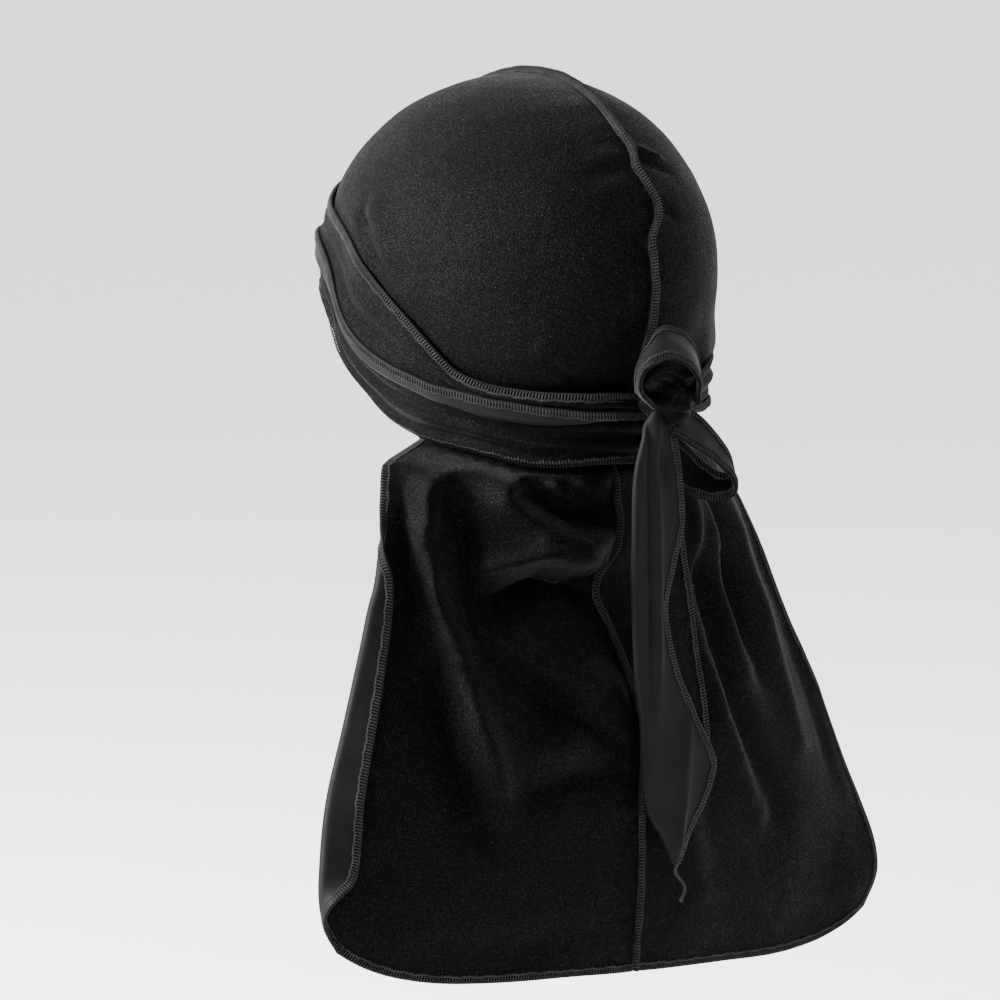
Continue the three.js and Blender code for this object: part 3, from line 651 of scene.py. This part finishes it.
def make_thread(looks):
    thread = Finish(
        "overlock_thread",
        specular_ior_level=0.046,
        sheen_weight=0.017,
        sheen_roughness=0.45,
        sheen_tint=(0.9, 0.9, 0.96, 1),
    )
    fluff = thread.noise(5200, 2, 0.6)
    runs = thread.noise(180, 2, 0.5)
    shade = thread.spread(fluff, 0.3, 0.7) * 0.6 + thread.spread(runs, 0.3, 0.7) * 0.4
    thread.set(thread.shader, "Base Color", thread.colours(
        shade, tuple(looks.thread_dark), tuple(looks.thread_light)))
    thread.set(thread.shader, "Roughness", 0.5 + thread.spread(fluff, 0.3, 0.7) * 0.25)
    thread.set(thread.shader, "Normal", thread.bumps((fluff, 0.00012)))
    return thread.material


# ---------------------------------------------------------------- panels
def crown_seam(along):
    pitch = np.radians(mix(BROW_PITCH, NAPE_PITCH, along))
    middle = on_head(points(0 * pitch, -np.cos(pitch), np.sin(pitch)), PANEL_LIFT)
    middle[..., 0] = SEAM_WANDER.at(np.degrees(pitch)).x
    return middle


def clinging_row(seam, border, u):
    return on_head(mix(unit(seam), unit(border), u), PANEL_LIFT)


def crown_points(side, along, u):
    seam = crown_seam(along)
    seam[..., 0] += side * (SEAM.half_width + SEAM.gap)
    border = CROWN_BORDER.at(along)
    return clinging_row(seam, head_at(side * border.turn, border.z, PANEL_LIFT), u)


def ear_rise(turn, z):
    """The wraps stand off over the wearer's left ear, and the tail comes out from under them there."""
    near = ease(turn, EAR.start, EAR.full) * (1 - ease(turn, EAR.fades, EAR.stop))
    return EAR.rise * near * ease(-z, EAR.top, EAR.low)


def tucked_in(place):
    turn = np.degrees(np.arctan2(place[..., 0], place[..., 1])) % 360
    below = np.maximum(WRAP_LOWER.at(turn).low - TUCK.below - place[..., 2], 0)
    most = head_at(turn, place[..., 2], PANEL_LIFT + ear_rise(turn, place[..., 2]) + below * TUCK.slope)
    beyond = np.hypot(place[..., 0], place[..., 1]) > np.hypot(most[..., 0], most[..., 1])
    return np.where(beyond[..., None], most, place)


def tail_rise(place, fall, u):
    flat = np.stack([place[..., 0], place[..., 2]], axis=-1)
    rise = np.zeros(place.shape[:-1])
    for fold in TAIL_FOLDS.each():
        path = np.array([[fold.x0, fold.z0], [fold.x1, fold.z1], [fold.x2, fold.z2]])
        gap, along = path_distance(flat, path)
        taper = 0.35 + 0.65 * np.sin(math.pi * np.clip(along, 0.04, 0.96))
        rise += fold.rise * taper * np.exp(-((gap / fold.half) ** fold.power))
    shown = ease(fall, 0.05, 0.12) * ease(u, 0.0, 0.07) * (1 - ease(u, 0.9, 1))
    return rise * shown


def tail_points(side, fall, u):
    row = TAIL.at(fall)
    inset = side * (SEAM.half_width + SEAM.gap)
    seam = points(row.seam_x + inset, row.seam_y, row.seam_z)
    border = head_at(side * NECK_SIDE_TURN, row.edge_z, PANEL_LIFT)
    clinging = clinging_row(seam, border, u)
    fold = ROLL_RADIUS * ease(row.curl, 0, 90) if side > 0 else 0
    u = u[..., 0]
    place = points(
        mix(seam[..., 0], side * (row.edge_x - fold), u),
        row.seam_y + (row.edge_y - row.seam_y) * u * u,
        row.seam_z + (row.edge_z - row.seam_z) * u**row.level + side * HEM_LEAN * u * ease(fall, 0.5, 1),
    )
    place = mix(place, clinging, row.cling[..., None])
    outward = unit(points(place[..., 0] * 0.55, place[..., 1], 0))
    return tucked_in(place + outward * tail_rise(place, fall, u)[..., None])


def seam_line(rows):
    """The middle of the centre seam, row by row, with the way that it stands off the cloth."""
    crown, tail = rows
    along = np.linspace(0, 1, crown, endpoint=False)
    fall = np.linspace(0, 1, tail)
    row = TAIL.at(fall)
    free = points(row.seam_x, row.seam_y, row.seam_z)
    middle = np.concatenate([
        crown_seam(along),
        tucked_in(mix(free, on_head(free, PANEL_LIFT), row.cling[:, None])),
    ])
    pitch = mix(BROW_PITCH, NAPE_PITCH, along)
    height = np.concatenate([
        mix(SEAM.covered, SEAM.height, ease(pitch, 60, 98) * (1 - ease(pitch, 194, 201))),
        mix(SEAM.covered, SEAM.height * 0.75, ease(fall, 0.1, 0.16)),
    ])
    return middle, height


def panel_rows():
    spacing = bpy.context.scene.durag_cloth.spacing / MM
    return int(CROWN_LENGTH / spacing), int(TAIL_LENGTH / spacing)


def smoothed(grid, start, stop, passes):
    for _ in range(passes):
        middle = (grid[start - 1 : stop - 1] + 2 * grid[start:stop] + grid[start + 1 : stop + 1]) / 4
        grid[start:stop] = middle
    return grid


def panel_grid(side):
    spacing = bpy.context.scene.durag_cloth.spacing / MM
    crown, tail = panel_rows()
    columns = int(PANEL_WIDTH / spacing)
    u = np.linspace(0, 1, columns)[None, :, None]
    along = np.linspace(0, 1, crown, endpoint=False)[:, None]
    fall = np.linspace(0, 1, tail)[:, None]
    upper = crown_points(side, along * np.ones(columns), np.broadcast_to(u, (crown, columns, 1)))
    lower = tail_points(side, fall * np.ones(columns), np.broadcast_to(u, (tail, columns, 1)))
    grid = smoothed(np.concatenate([upper, lower]), crown - 4, crown + 5, 6)
    normals = grid_normals(grid) * -side
    rise = np.zeros(grid.shape[:2])
    for fold in CROWN_FOLDS.each():
        if (fold.x0 > 0) != (side > 0):
            continue
        start = np.array([fold.x0, fold.y0, fold.z0])
        stop = np.array([fold.x1, fold.y1, fold.z1])
        path = on_head(mix(start, stop, np.linspace(0, 1, 7)[:, None]), PANEL_LIFT)
        gap, along_fold = path_distance(grid, path)
        taper = 1 - ease(along_fold, 0.5, 1.0)
        rise += fold.rise * taper * np.exp(-((gap / fold.half) ** fold.power))
    middle, _ = seam_line((crown, tail))
    to_seam = np.linalg.norm(grid - middle[:, None], axis=-1)
    fade = ease(np.arange(crown + tail) / (crown + tail), 0.16, 0.24)[:, None]
    pucker = ripple(grid * np.array([0.15, 1, 1]), 11, 5 + side) * np.exp(-to_seam / 7) * 0.45
    rise += pucker * fade
    rise += ripple(grid, 52, 11 + side) * 0.35 + ripple(grid, 21, 17 + side) * 0.1
    rise *= ease(to_seam, 1.0, 6.0)
    below = np.concatenate([np.zeros(crown), np.linspace(0, 1, tail)])[:, None]
    drape = ease(below, 0.12, 0.4) * ease(to_seam, 4, 20)
    rise += ripple(grid * np.array([1, 1, 0.45]), 34, 23 + side) * 0.9 * drape
    return grid + normals * rise[..., None]


def rolled(grid, side):
    """The outer edge turned outwards into a rolled strip, in the columns that follow the panel's own."""
    crown, tail = panel_rows()
    fall = np.concatenate([np.zeros(crown), np.linspace(0, 1, tail)])
    row = TAIL.at(fall)
    edge = grid[:, -1]
    out = unit(edge - grid[:, -3])
    down = unit(np.gradient(edge, axis=0))
    up = unit(np.cross(out, down)) * side
    curl = np.radians(row.curl)[:, None]
    columns = []
    for part in np.linspace(0, 1, 8)[1:]:
        turned = curl * part
        columns.append(edge + out * ROLL_RADIUS * np.sin(turned) + up * ROLL_RADIUS * (1 - np.cos(turned)))
    last = columns[-1]
    flat = out * np.cos(curl) + up * np.sin(curl)
    for part in np.linspace(0, 1, 9)[1:]:
        columns.append(last + flat * row.roll[:, None] * part)
    return np.concatenate([grid, np.stack(columns, axis=1)], axis=1)


def edge_overlock(name, grid, line, inner, rows=slice(None)):
    """Stitches along one edge line of a grid; inner says which edge it is."""
    normals = grid_normals(grid)
    picks = {"first": (0, 2), "last": (-1, -3)}[inner]
    if line == "column":
        edge, near, outward = grid[rows, picks[0]], grid[rows, picks[1]], normals[rows, picks[0]]
    else:
        edge, near, outward = grid[picks[0], rows], grid[picks[1], rows], normals[picks[0], rows]
    return overlock(name, edge, near - edge, outward)


def dress(made, slot, *nodes):
    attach(made, "root")
    if nodes:
        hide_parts(*nodes)
    return made


class DURAG_OT_panels(bpy.types.Operator):
    """Makes the two velvet panels, with the tail, its folds and its rolled edge"""

    bl_idname = "durag.panels"
    bl_label = "Panels and Tail"

    def execute(self, context):
        faces = [finish_of("velvet"), finish_of("underside")]
        for name, side in (("left", 1), ("right", -1)):
            grid = panel_grid(side)
            if side > 0:
                grid = rolled(grid, side)
            turned = grid[:, ::-1] if side > 0 else grid
            cloth = cloth_wall(f"velvet_panel_{name}", turned, faces)
            dress(cloth, "velvet", f"panel_{name}")
            crown, tail = panel_rows()
            edge_end = "first" if side > 0 else "last"
            border = edge_overlock(f"overlock_edge_{name}", turned, "column", edge_end,
                                   rows=slice(crown + int(tail * 0.08), None))
            hem = edge_overlock(f"overlock_hem_{name}", turned, "row", "last")
            for stitches in (border, hem):
                dress(stitches, "thread")
        return {"FINISHED"}


class DURAG_OT_centre_seam(bpy.types.Operator):
    """Makes the raised centre seam and the overlock stitches over its crest"""

    bl_idname = "durag.centre_seam"
    bl_label = "Centre Seam"

    def execute(self, context):
        middle, height = seam_line(panel_rows())
        middle = smoothed(middle, 1, len(middle) - 1, 3)
        along = unit(np.gradient(middle, axis=0))
        outward = unit(points(0, -along[:, 2], along[:, 1]))
        sideways = points(np.ones(len(middle)), 0, 0)
        at = np.arange(len(middle)) * context.scene.durag_cloth.spacing / MM
        sway = (0.35 * np.sin(at / 5.1) + 0.3 * np.sin(at / 2.3 + 1.2)) * ease(height, 2, 4)
        lift = [0, 0.35, 0.6, 0.82, 0.95, 1.0, 0.95, 0.82, 0.6, 0.35, 0]
        wide = [1, 0.92, 0.86, 0.8, 0.6, 0, -0.6, -0.8, -0.86, -0.92, -1]
        columns = []
        for h, w in zip(lift, wide):
            up = height * h
            leaning = SEAM.lean * np.maximum(up - SEAM.upright, 0) - sway * h
            columns.append(middle + outward * (up - VELVET / 2)[:, None]
                           + sideways * (w * SEAM.half_width - leaning)[:, None])
        grid = np.stack(columns, axis=1)
        rows, across = grid.shape[:2]
        body = grid_faces(rows, across)
        floor = np.stack([np.arange(rows - 1) * across + across - 1, np.arange(1, rows) * across + across - 1,
                          np.arange(1, rows) * across, np.arange(rows - 1) * across], axis=-1)
        faces = np.concatenate([body, floor]).tolist()
        faces.append(list(range(across))[::-1])
        faces.append([(rows - 1) * across + n for n in range(across)])
        fin = new_object("raised_seam", grid.reshape(-1, 3), faces, [finish_of("underside")])
        dress(fin, "thread", "centre_seam")
        shown = slice(int(rows * 0.14), None)
        crest, base = grid[:, across // 2], (grid[:, 1] + grid[:, -2]) / 2
        stitches = overlock("overlock_seam", crest[shown], (base - crest)[shown], sideways[shown],
                            width=2.8, thickness=SEAM.half_width * 1.5)
        dress(stitches, "thread")
        return {"FINISHED"}


# ---------------------------------------------------------------- wraps
def wrap_lift(turn, z):
    return WRAP_LIFT + WRAP_BRIDGE * ease(-z, 34, 52) + ear_rise(turn, z)


def pleat(across, turn, count, drift, sharp=1.0):
    """Long pleats along a wrap: 0 in a valley and 1 on a crest."""
    wander = drift * np.sin(np.radians(turn * 2.3)) + turn * 0.02
    wave = 0.5 + 0.5 * np.sin(2 * math.pi * count * across + wander)
    return wave**sharp


def upper_wrap_grid():
    rows, body, bend, strip = 330, 30, 8, 14
    turn = np.linspace(WRAP_FIRST, WRAP_LAST, rows)[:, None]
    row = WRAP_UPPER.at(turn)
    radius = LAYER / 2
    step_down = LOWER_UNDERLAP + 3
    bunch = 1.2 * (1 - ease(np.minimum(turn, 360 - turn), 8, 40)) + SIDE_BUNCH.rise * ease(
        turn, SIDE_BUNCH.start, SIDE_BUNCH.full) * (1 - ease(turn, SIDE_BUNCH.fades, SIDE_BUNCH.stop))
    across = np.linspace(0, 1, body)[None, :]
    z = mix(row.top, row.low + radius, across)
    over = 1 - ease(z - row.low, step_down, step_down + 8)
    folds = 1.1 * pleat(across, turn, 2.6, 1.3, 1.6) * ease(across, 0.06, 0.25) * (1 - ease(across, 0.8, 1))
    near_knot = 1 - ease(np.minimum(turn, 360 - turn), 6, 34)
    folds = folds + 0.8 * near_knot * pleat(across, turn, 4.2, 0.4, 1.4) * ease(across, 0.05, 0.2)
    main = head_at(turn, z, wrap_lift(turn, z) + LAYER * over + bunch + folds)
    base = wrap_lift(turn, row.low) + LAYER + bunch
    around = math.pi * np.linspace(0, 1, bend)[None, 1:]
    fold = head_at(turn, row.low + radius - radius * np.sin(around), base + radius - radius * np.cos(around))
    part = np.linspace(0, 1, strip)[None, 1:]
    slack = 0.5 * np.sin(np.radians(turn * 7)) * part * (1 - part) * 4
    rise = row.low + radius + (row.strip - radius) * part
    flap = head_at(turn, rise, base + LAYER + 0.35 * slack)
    grid = np.concatenate([main, fold, flap], axis=1)
    return grid + points(0, 0, ripple(grid, 26, 31) * 0.25)


def lower_wrap_grid():
    rows, columns = 330, 34
    turn = np.linspace(WRAP_FIRST, WRAP_LAST, rows)[:, None]
    across = np.linspace(0, 1, columns)[None, :]
    low = WRAP_LOWER.at(turn).low
    top = WRAP_UPPER.at(turn).low + LOWER_UNDERLAP
    shown = ease(across, 0.28, 0.42) * (1 - ease(across, 0.9, 1))
    folds = 1.7 * shown * pleat(across, turn, 3.1, 1.1, 1.3)
    z = mix(top, low, across) + 0.35 * np.sin(np.radians(turn * 9))
    return head_at(turn, z, wrap_lift(turn, z) + folds)


class DURAG_OT_wraps(bpy.types.Operator):
    """Makes the two pleated wraps round the head, with the strip that is flipped up over the upper one"""

    bl_idname = "durag.wraps"
    bl_label = "Wraps"

    def execute(self, context):
        faces = [finish_of("velvet"), finish_of("underside")]
        lower = lower_wrap_grid()
        cloth = dress(cloth_wall("velvet_wrap_lower", lower, faces), "velvet", "tie_wrap_lower")
        edge = dress(edge_overlock("overlock_wrap_lower", lower, "column", "last"), "thread")
        upper = upper_wrap_grid()
        cloth = dress(cloth_wall("velvet_wrap_upper", upper, faces), "velvet", "tie_wrap_upper")
        top = dress(edge_overlock("overlock_wrap_top", upper, "column", "first"), "thread")
        flap = dress(edge_overlock("overlock_wrap_strip", upper, "column", "last"), "thread")
        return {"FINISHED"}


# ---------------------------------------------------------------- knot, bow and hanging end
def ribbon_grid(table, cup):
    rows, columns = 120, 17
    stop = np.linspace(0, len(table.rows) - 1, rows)
    row = table.at(stop)
    middle = points(row.x, row.y, row.z)
    tilt = unit(points(row.tilt_x, row.tilt_y, row.tilt_z))
    across = np.linspace(-0.5, 0.5, columns)
    grid = middle[:, None] + tilt[:, None] * (across[None, :] * row.width[:, None])[..., None]
    normals = grid_normals(grid)
    bow = cup * (1 - (2 * across) ** 2)[None, :, None]
    wrinkle = ripple(grid, 9, 41)[..., None] * 0.22
    return grid + normals * (bow + wrinkle)


def tie_end_grid():
    rows, front, bend, back = 150, 24, 8, 22
    fall = np.linspace(TIE_END.rows[0, 0], TIE_END.rows[-1, 0], rows)[:, None]
    row = TIE_END.at(fall)
    radius = 1.1
    left = row.left - radius
    across = np.linspace(0, 1, front)[None, :]
    face = points(mix(row.front, left, across), row.y + 2 * radius, -fall)
    around = math.pi * np.linspace(0, 1, bend)[None, 1:]
    fold = points(left + radius * np.sin(around), row.y + radius + radius * np.cos(around), -fall)
    part = np.linspace(0, 1, back)[None, 1:]
    rear = points(mix(left, row.back, part), row.y, -fall)
    grid = np.concatenate([face, fold, rear], axis=1)
    x, z = grid[..., 0], grid[..., 2]
    crease = mix(8.0, 3.0, ease(-z, 62, 150))
    rise = 2.4 * np.exp(-np.abs(x - crease + 3.2) / 2.6) * (1 - ease(-z, 150, 200))
    rise = rise - 1.8 * np.exp(-(((x - crease - 0.4) / 1.3) ** 2)) * (1 - ease(-z, 140, 190))
    late = 2.4 * np.exp(-np.abs(x + 15 - (-z - 214) * 0.08) / 3.0)
    late = late * ease(-z, 160, 200) * (1 - ease(-z, 238, 246))
    dimple = -2.6 * np.exp(-(((x - 1) / 4.5) ** 2) - ((z + 74) / 8) ** 2)
    grid[..., 1] += rise + late + dimple + ripple(grid, 30, 47) * 0.35
    return grid


def knot_grid():
    rows, columns = 60, 90
    polar = np.linspace(0.0001, math.pi - 0.0001, rows)[:, None]
    turn = np.linspace(0, 2 * math.pi, columns)[None, :]
    ball = points(np.sin(polar) * np.cos(turn), np.sin(polar) * np.sin(turn), np.cos(polar) + 0 * turn)
    sweep = ball[..., 0] * 0.8 + ball[..., 2] * 0.6
    fan = np.arctan2(ball[..., 2] + 0.35, ball[..., 0] + 1.1)
    waist = 1 - 0.1 * np.exp(-(sweep**2) / 0.05)
    waist = waist + 0.05 * np.sin(fan * 15) * ease(ball[..., 1], -0.2, 0.5)
    waist = waist - 0.07 * np.exp(-((sweep - 0.3) / 0.09) ** 2)
    place = points(
        KNOT.x + ball[..., 0] * KNOT.half_x * waist,
        KNOT.y + ball[..., 1] * KNOT.half_y * waist,
        KNOT.z + ball[..., 2] * KNOT.half_z * waist,
    )
    seat = head_radius(unit(place)) + KNOT.seat_lift
    reach = np.linalg.norm(place, axis=-1)
    return np.where((reach < seat)[..., None], unit(place) * seat[..., None], place)


class DURAG_OT_knot(bpy.types.Operator):
    """Makes the knot, the two bow loops, the hanging end and its thread tail"""

    bl_idname = "durag.knot"
    bl_label = "Knot and Bow"

    def execute(self, context):
        faces = [finish_of("underside"), finish_of("velvet")]
        ball = knot_grid()[:, :-1]
        rows, columns = ball.shape[:2]
        i, j = np.meshgrid(np.arange(rows - 1), np.arange(columns), indexing="ij")
        a, b = i * columns + j, i * columns + (j + 1) % columns
        quads = np.stack([a, a + columns, b + columns, b], axis=-1).reshape(-1, 4).tolist()
        quads.append(list(range(columns)))
        quads.append([(rows - 1) * columns + n for n in range(columns)][::-1])
        knot = new_object("velvet_knot", ball.reshape(-1, 3), quads, [finish_of("velvet")])
        dress(knot, "velvet", "tie_knot")
        for name, table, cup in (("upper", LOOP_UPPER, 0.5), ("right", LOOP_RIGHT, 0.4)):
            grid = ribbon_grid(table, cup)
            loop = dress(cloth_wall(f"satin_loop_{name}", grid, faces), "underside", f"bow_loop_{name}")
            edges = [dress(edge_overlock(f"overlock_loop_{name}_{end}", grid, "column", end), "thread")
                     for end in ("first", "last")]
            length = float(np.linalg.norm(np.diff(grid[:, 8], axis=0), axis=-1).sum()) * MM
        grid = tie_end_grid()
        end = dress(cloth_wall("satin_tie_end", grid, faces[::-1]), "underside", "tie_end")
        front = dress(edge_overlock("overlock_tie_front", grid, "column", "first"), "thread")
        back = dress(edge_overlock("overlock_tie_back", grid, "column", "last"), "thread")
        curl = np.linspace(0, 1, 160)
        tail = points(
            mix(-13, -16, curl) + 1.6 * np.sin(curl * 9), mix(95.5, 97, curl) + 1.2 * np.cos(curl * 9),
            mix(-246, -266, curl) + 2.2 * ease(curl, 0.8, 1),
        )
        twist = curl * 2 * math.pi * 15
        strands = []
        for start in (0, math.pi):
            strand = tail + points(np.cos(twist + start), np.sin(twist + start), 0) * 0.42
            strands.append(tube(strand, 0.42, np.array([1.0, 0.2, 0.1]), sides=6))
        verts, quads = joined(strands)
        thread = dress(new_object("thread_tail", verts, quads, [finish_of("thread")]), "thread")
        return {"FINISHED"}


class DURAG_OT_finishes(bpy.types.Operator):
    """Makes the velvet, its knitted underside and the overlock thread"""

    bl_idname = "durag.finishes"
    bl_label = "Finishes"

    def execute(self, context):
        looks = context.scene.durag_finishes
        FINISHES["velvet"] = make_velvet(looks)
        FINISHES["underside"] = make_underside(looks)
        FINISHES["thread"] = make_thread(looks)
        return {"FINISHED"}


# ---------------------------------------------------------------- stage
def aimed(made, place, target):
    """Puts an object at a place and turns it so that it looks at the target."""
    made.location = place
    made.rotation_euler = (Vector(target) - Vector(place)).to_track_quat("-Z", "Y").to_euler()


class DURAG_OT_stage(bpy.types.Operator):
    """Adds the pale floor, the soft studio light and the camera"""

    bl_idname = "durag.stage"
    bl_label = "Stage"

    def execute(self, context):
        stage = context.scene.durag_stage
        turn, tip = math.radians(VIEW.turn), math.radians(VIEW.tip)
        view = np.array([math.sin(turn) * math.cos(tip), -math.cos(turn) * math.cos(tip), math.sin(tip)])
        right = np.array([math.cos(turn), math.sin(turn), 0.0])
        up = np.cross(view, right)
        up = up if up[2] > 0 else -up
        camera_data = bpy.data.cameras.new("studio_camera")
        camera_data.sensor_width = SENSOR_WIDTH
        camera_data.lens = SENSOR_WIDTH * stage.distance / stage.span
        camera_data.clip_end = CAMERA_REACH
        camera = bpy.data.objects.new("studio_camera", camera_data)
        context.scene.collection.objects.link(camera)
        target = (VIEW.right * right + VIEW.up * up) * MM
        aimed(camera, tuple(view * stage.distance + target), tuple(target))
        context.scene.camera = camera

        floor_level = CAD_BOX[0][2] - stage.floor_drop
        half = FLOOR_HALF
        verts = [(-half, -half, 0), (half, -half, 0), (half, half, 0), (-half, half, 0)]
        floor_finish = Finish(
            "pale_floor", base_color=(0.86, 0.86, 0.87, 1), roughness=0.9, specular_ior_level=0.1,
        )
        floor = new_object("studio_floor", np.array(verts) / MM, [(0, 1, 2, 3)], [floor_finish.material])
        floor.data.transform(Matrix.Translation((0, 0, floor_level)))

        for name, place, size, power, colour in (
            ("key_left", view * 0.5 - right * 1.9 + up * 0.75, 0.8, stage.key, (1, 0.99, 0.97)),
            ("rim_right", -view * 0.5 + right * 1.7 + up * 0.7, 1.0, stage.rim, (0.97, 0.98, 1)),
            ("top_soft", view * 0.1 + up * 1.9 - right * 0.2, 1.4, stage.top, (1, 1, 1)),
        ):
            light_data = bpy.data.lights.new(name, "AREA")
            light_data.size = size
            light_data.energy = power
            light_data.color = colour
            light = bpy.data.objects.new(name, light_data)
            context.scene.collection.objects.link(light)
            aimed(light, tuple(place), LIGHT_TARGET)

        world = bpy.data.worlds.new("studio_white")
        world.use_nodes = True
        world.node_tree.nodes["Background"].inputs["Color"].default_value = (1, 1, 1, 1)
        world.node_tree.nodes["Background"].inputs["Strength"].default_value = stage.surround
        context.scene.world = world
        return {"FINISHED"}


# ---------------------------------------------------------------- user settings
def length_property(name, description, default, **limits):
    return FloatProperty(name=name, description=description, default=default, unit="LENGTH", **limits)


def value_property(name, description, default, **limits):
    return FloatProperty(name=name, description=description, default=default, min=0, **limits)


def colour_property(name, description, default):
    return FloatVectorProperty(
        name=name, description=description, default=default, subtype="COLOR", min=0, max=1,
    )


class DuragCloth(bpy.types.PropertyGroup):
    spacing: length_property("Grid Spacing", "Between the panels' points", 0.0017, min=0.001, max=0.01)


class DuragStitches(bpy.types.PropertyGroup):
    pitch: length_property("Stitch Pitch", "Distance between two loops", 0.00135, min=0.0008, max=0.004)
    width: length_property("Stitch Width", "How far the loops reach in", 0.0030, min=0.001, max=0.008)
    thread: length_property("Thread Radius", "Radius of the thread", 0.00027, min=0.0001, max=0.001)


class DuragFinishes(bpy.types.PropertyGroup):
    velvet_dark: colour_property("Velvet Dark", "Velvet between its tips", (0.0003, 0.0003, 0.00036))
    velvet_light: colour_property("Velvet Light", "Tips of the pile", (0.0026, 0.0026, 0.003))
    # colour of single pile fibres, painted light enough to stand for their glints as well: a painted
    # highlight
    velvet_fibre_glint: colour_property("Velvet Speck", "Single bright fibres", (0.03, 0.03, 0.033))
    underside_dark: colour_property("Underside Dark", "Between its stitches", (0.0015, 0.0015, 0.0019))
    underside_light: colour_property("Underside Light", "On its stitches", (0.0035, 0.0035, 0.0042))
    thread_dark: colour_property("Thread Dark", "Thread in its own shade", (0.004, 0.004, 0.0046))
    thread_light: colour_property("Thread Light", "Thread's fluffed outside", (0.024, 0.024, 0.026))
    sheen: value_property("Velvet Sheen", "Strength of the velvet's sheen", 0.095, max=1)
    sheen_roughness: value_property("Sheen Roughness", "Spread of the velvet's sheen", 0.3, max=1)


class DuragStage(bpy.types.PropertyGroup):
    distance: length_property("Camera Distance", "From the camera to the head", 2.6, min=0.5)
    span: length_property("Frame Span", "Width that the frame takes in at the head", 0.434, min=0.1)
    floor_drop: length_property("Floor Drop", "From the lowest point of the hem to the floor", 0.16, min=0)
    key: value_property("Key Light", "Soft light from the left", 430)
    rim: value_property("Rim Light", "Soft light from behind on the right", 13)
    top: value_property("Top Light", "Soft light from above", 22)
    surround: value_property("Surround", "Brightness of the white room", 2.2)


class DURAG_PT_panel(bpy.types.Panel):
    """Lists the parts of the durag and their sizes"""

    bl_idname = "DURAG_PT_panel"
    bl_label = "Durag"
    bl_space_type = "VIEW_3D"
    bl_region_type = "UI"
    bl_category = "Durag"

    def draw(self, context):
        for group in (context.scene.durag_cloth, context.scene.durag_stitches, context.scene.durag_finishes,
                      context.scene.durag_stage):
            box = self.layout.box()
            for key in group.__annotations__:
                box.prop(group, key)
        for step in STEPS:
            self.layout.operator(step.bl_idname)


STEPS = (
    DURAG_OT_finishes, DURAG_OT_panels, DURAG_OT_centre_seam, DURAG_OT_wraps, DURAG_OT_knot, DURAG_OT_stage,
)
GROUPS = {
    "durag_cloth": DuragCloth, "durag_stitches": DuragStitches, "durag_finishes": DuragFinishes,
    "durag_stage": DuragStage,
}


def register():
    for group in GROUPS.values():
        bpy.utils.register_class(group)
    for step in STEPS:
        bpy.utils.register_class(step)
    bpy.utils.register_class(DURAG_PT_panel)
    for key, group in GROUPS.items():
        setattr(bpy.types.Scene, key, PointerProperty(type=group))


def unregister():
    for key in GROUPS:
        delattr(bpy.types.Scene, key)
    for made in (DURAG_PT_panel, *reversed(STEPS), *GROUPS.values()):
        bpy.utils.unregister_class(made)


def main():
    register()
    for step in STEPS:
        group, action = step.bl_idname.split(".")
        getattr(getattr(bpy.ops, group), action)()
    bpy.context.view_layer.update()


if __name__ == "__main__":
    main()
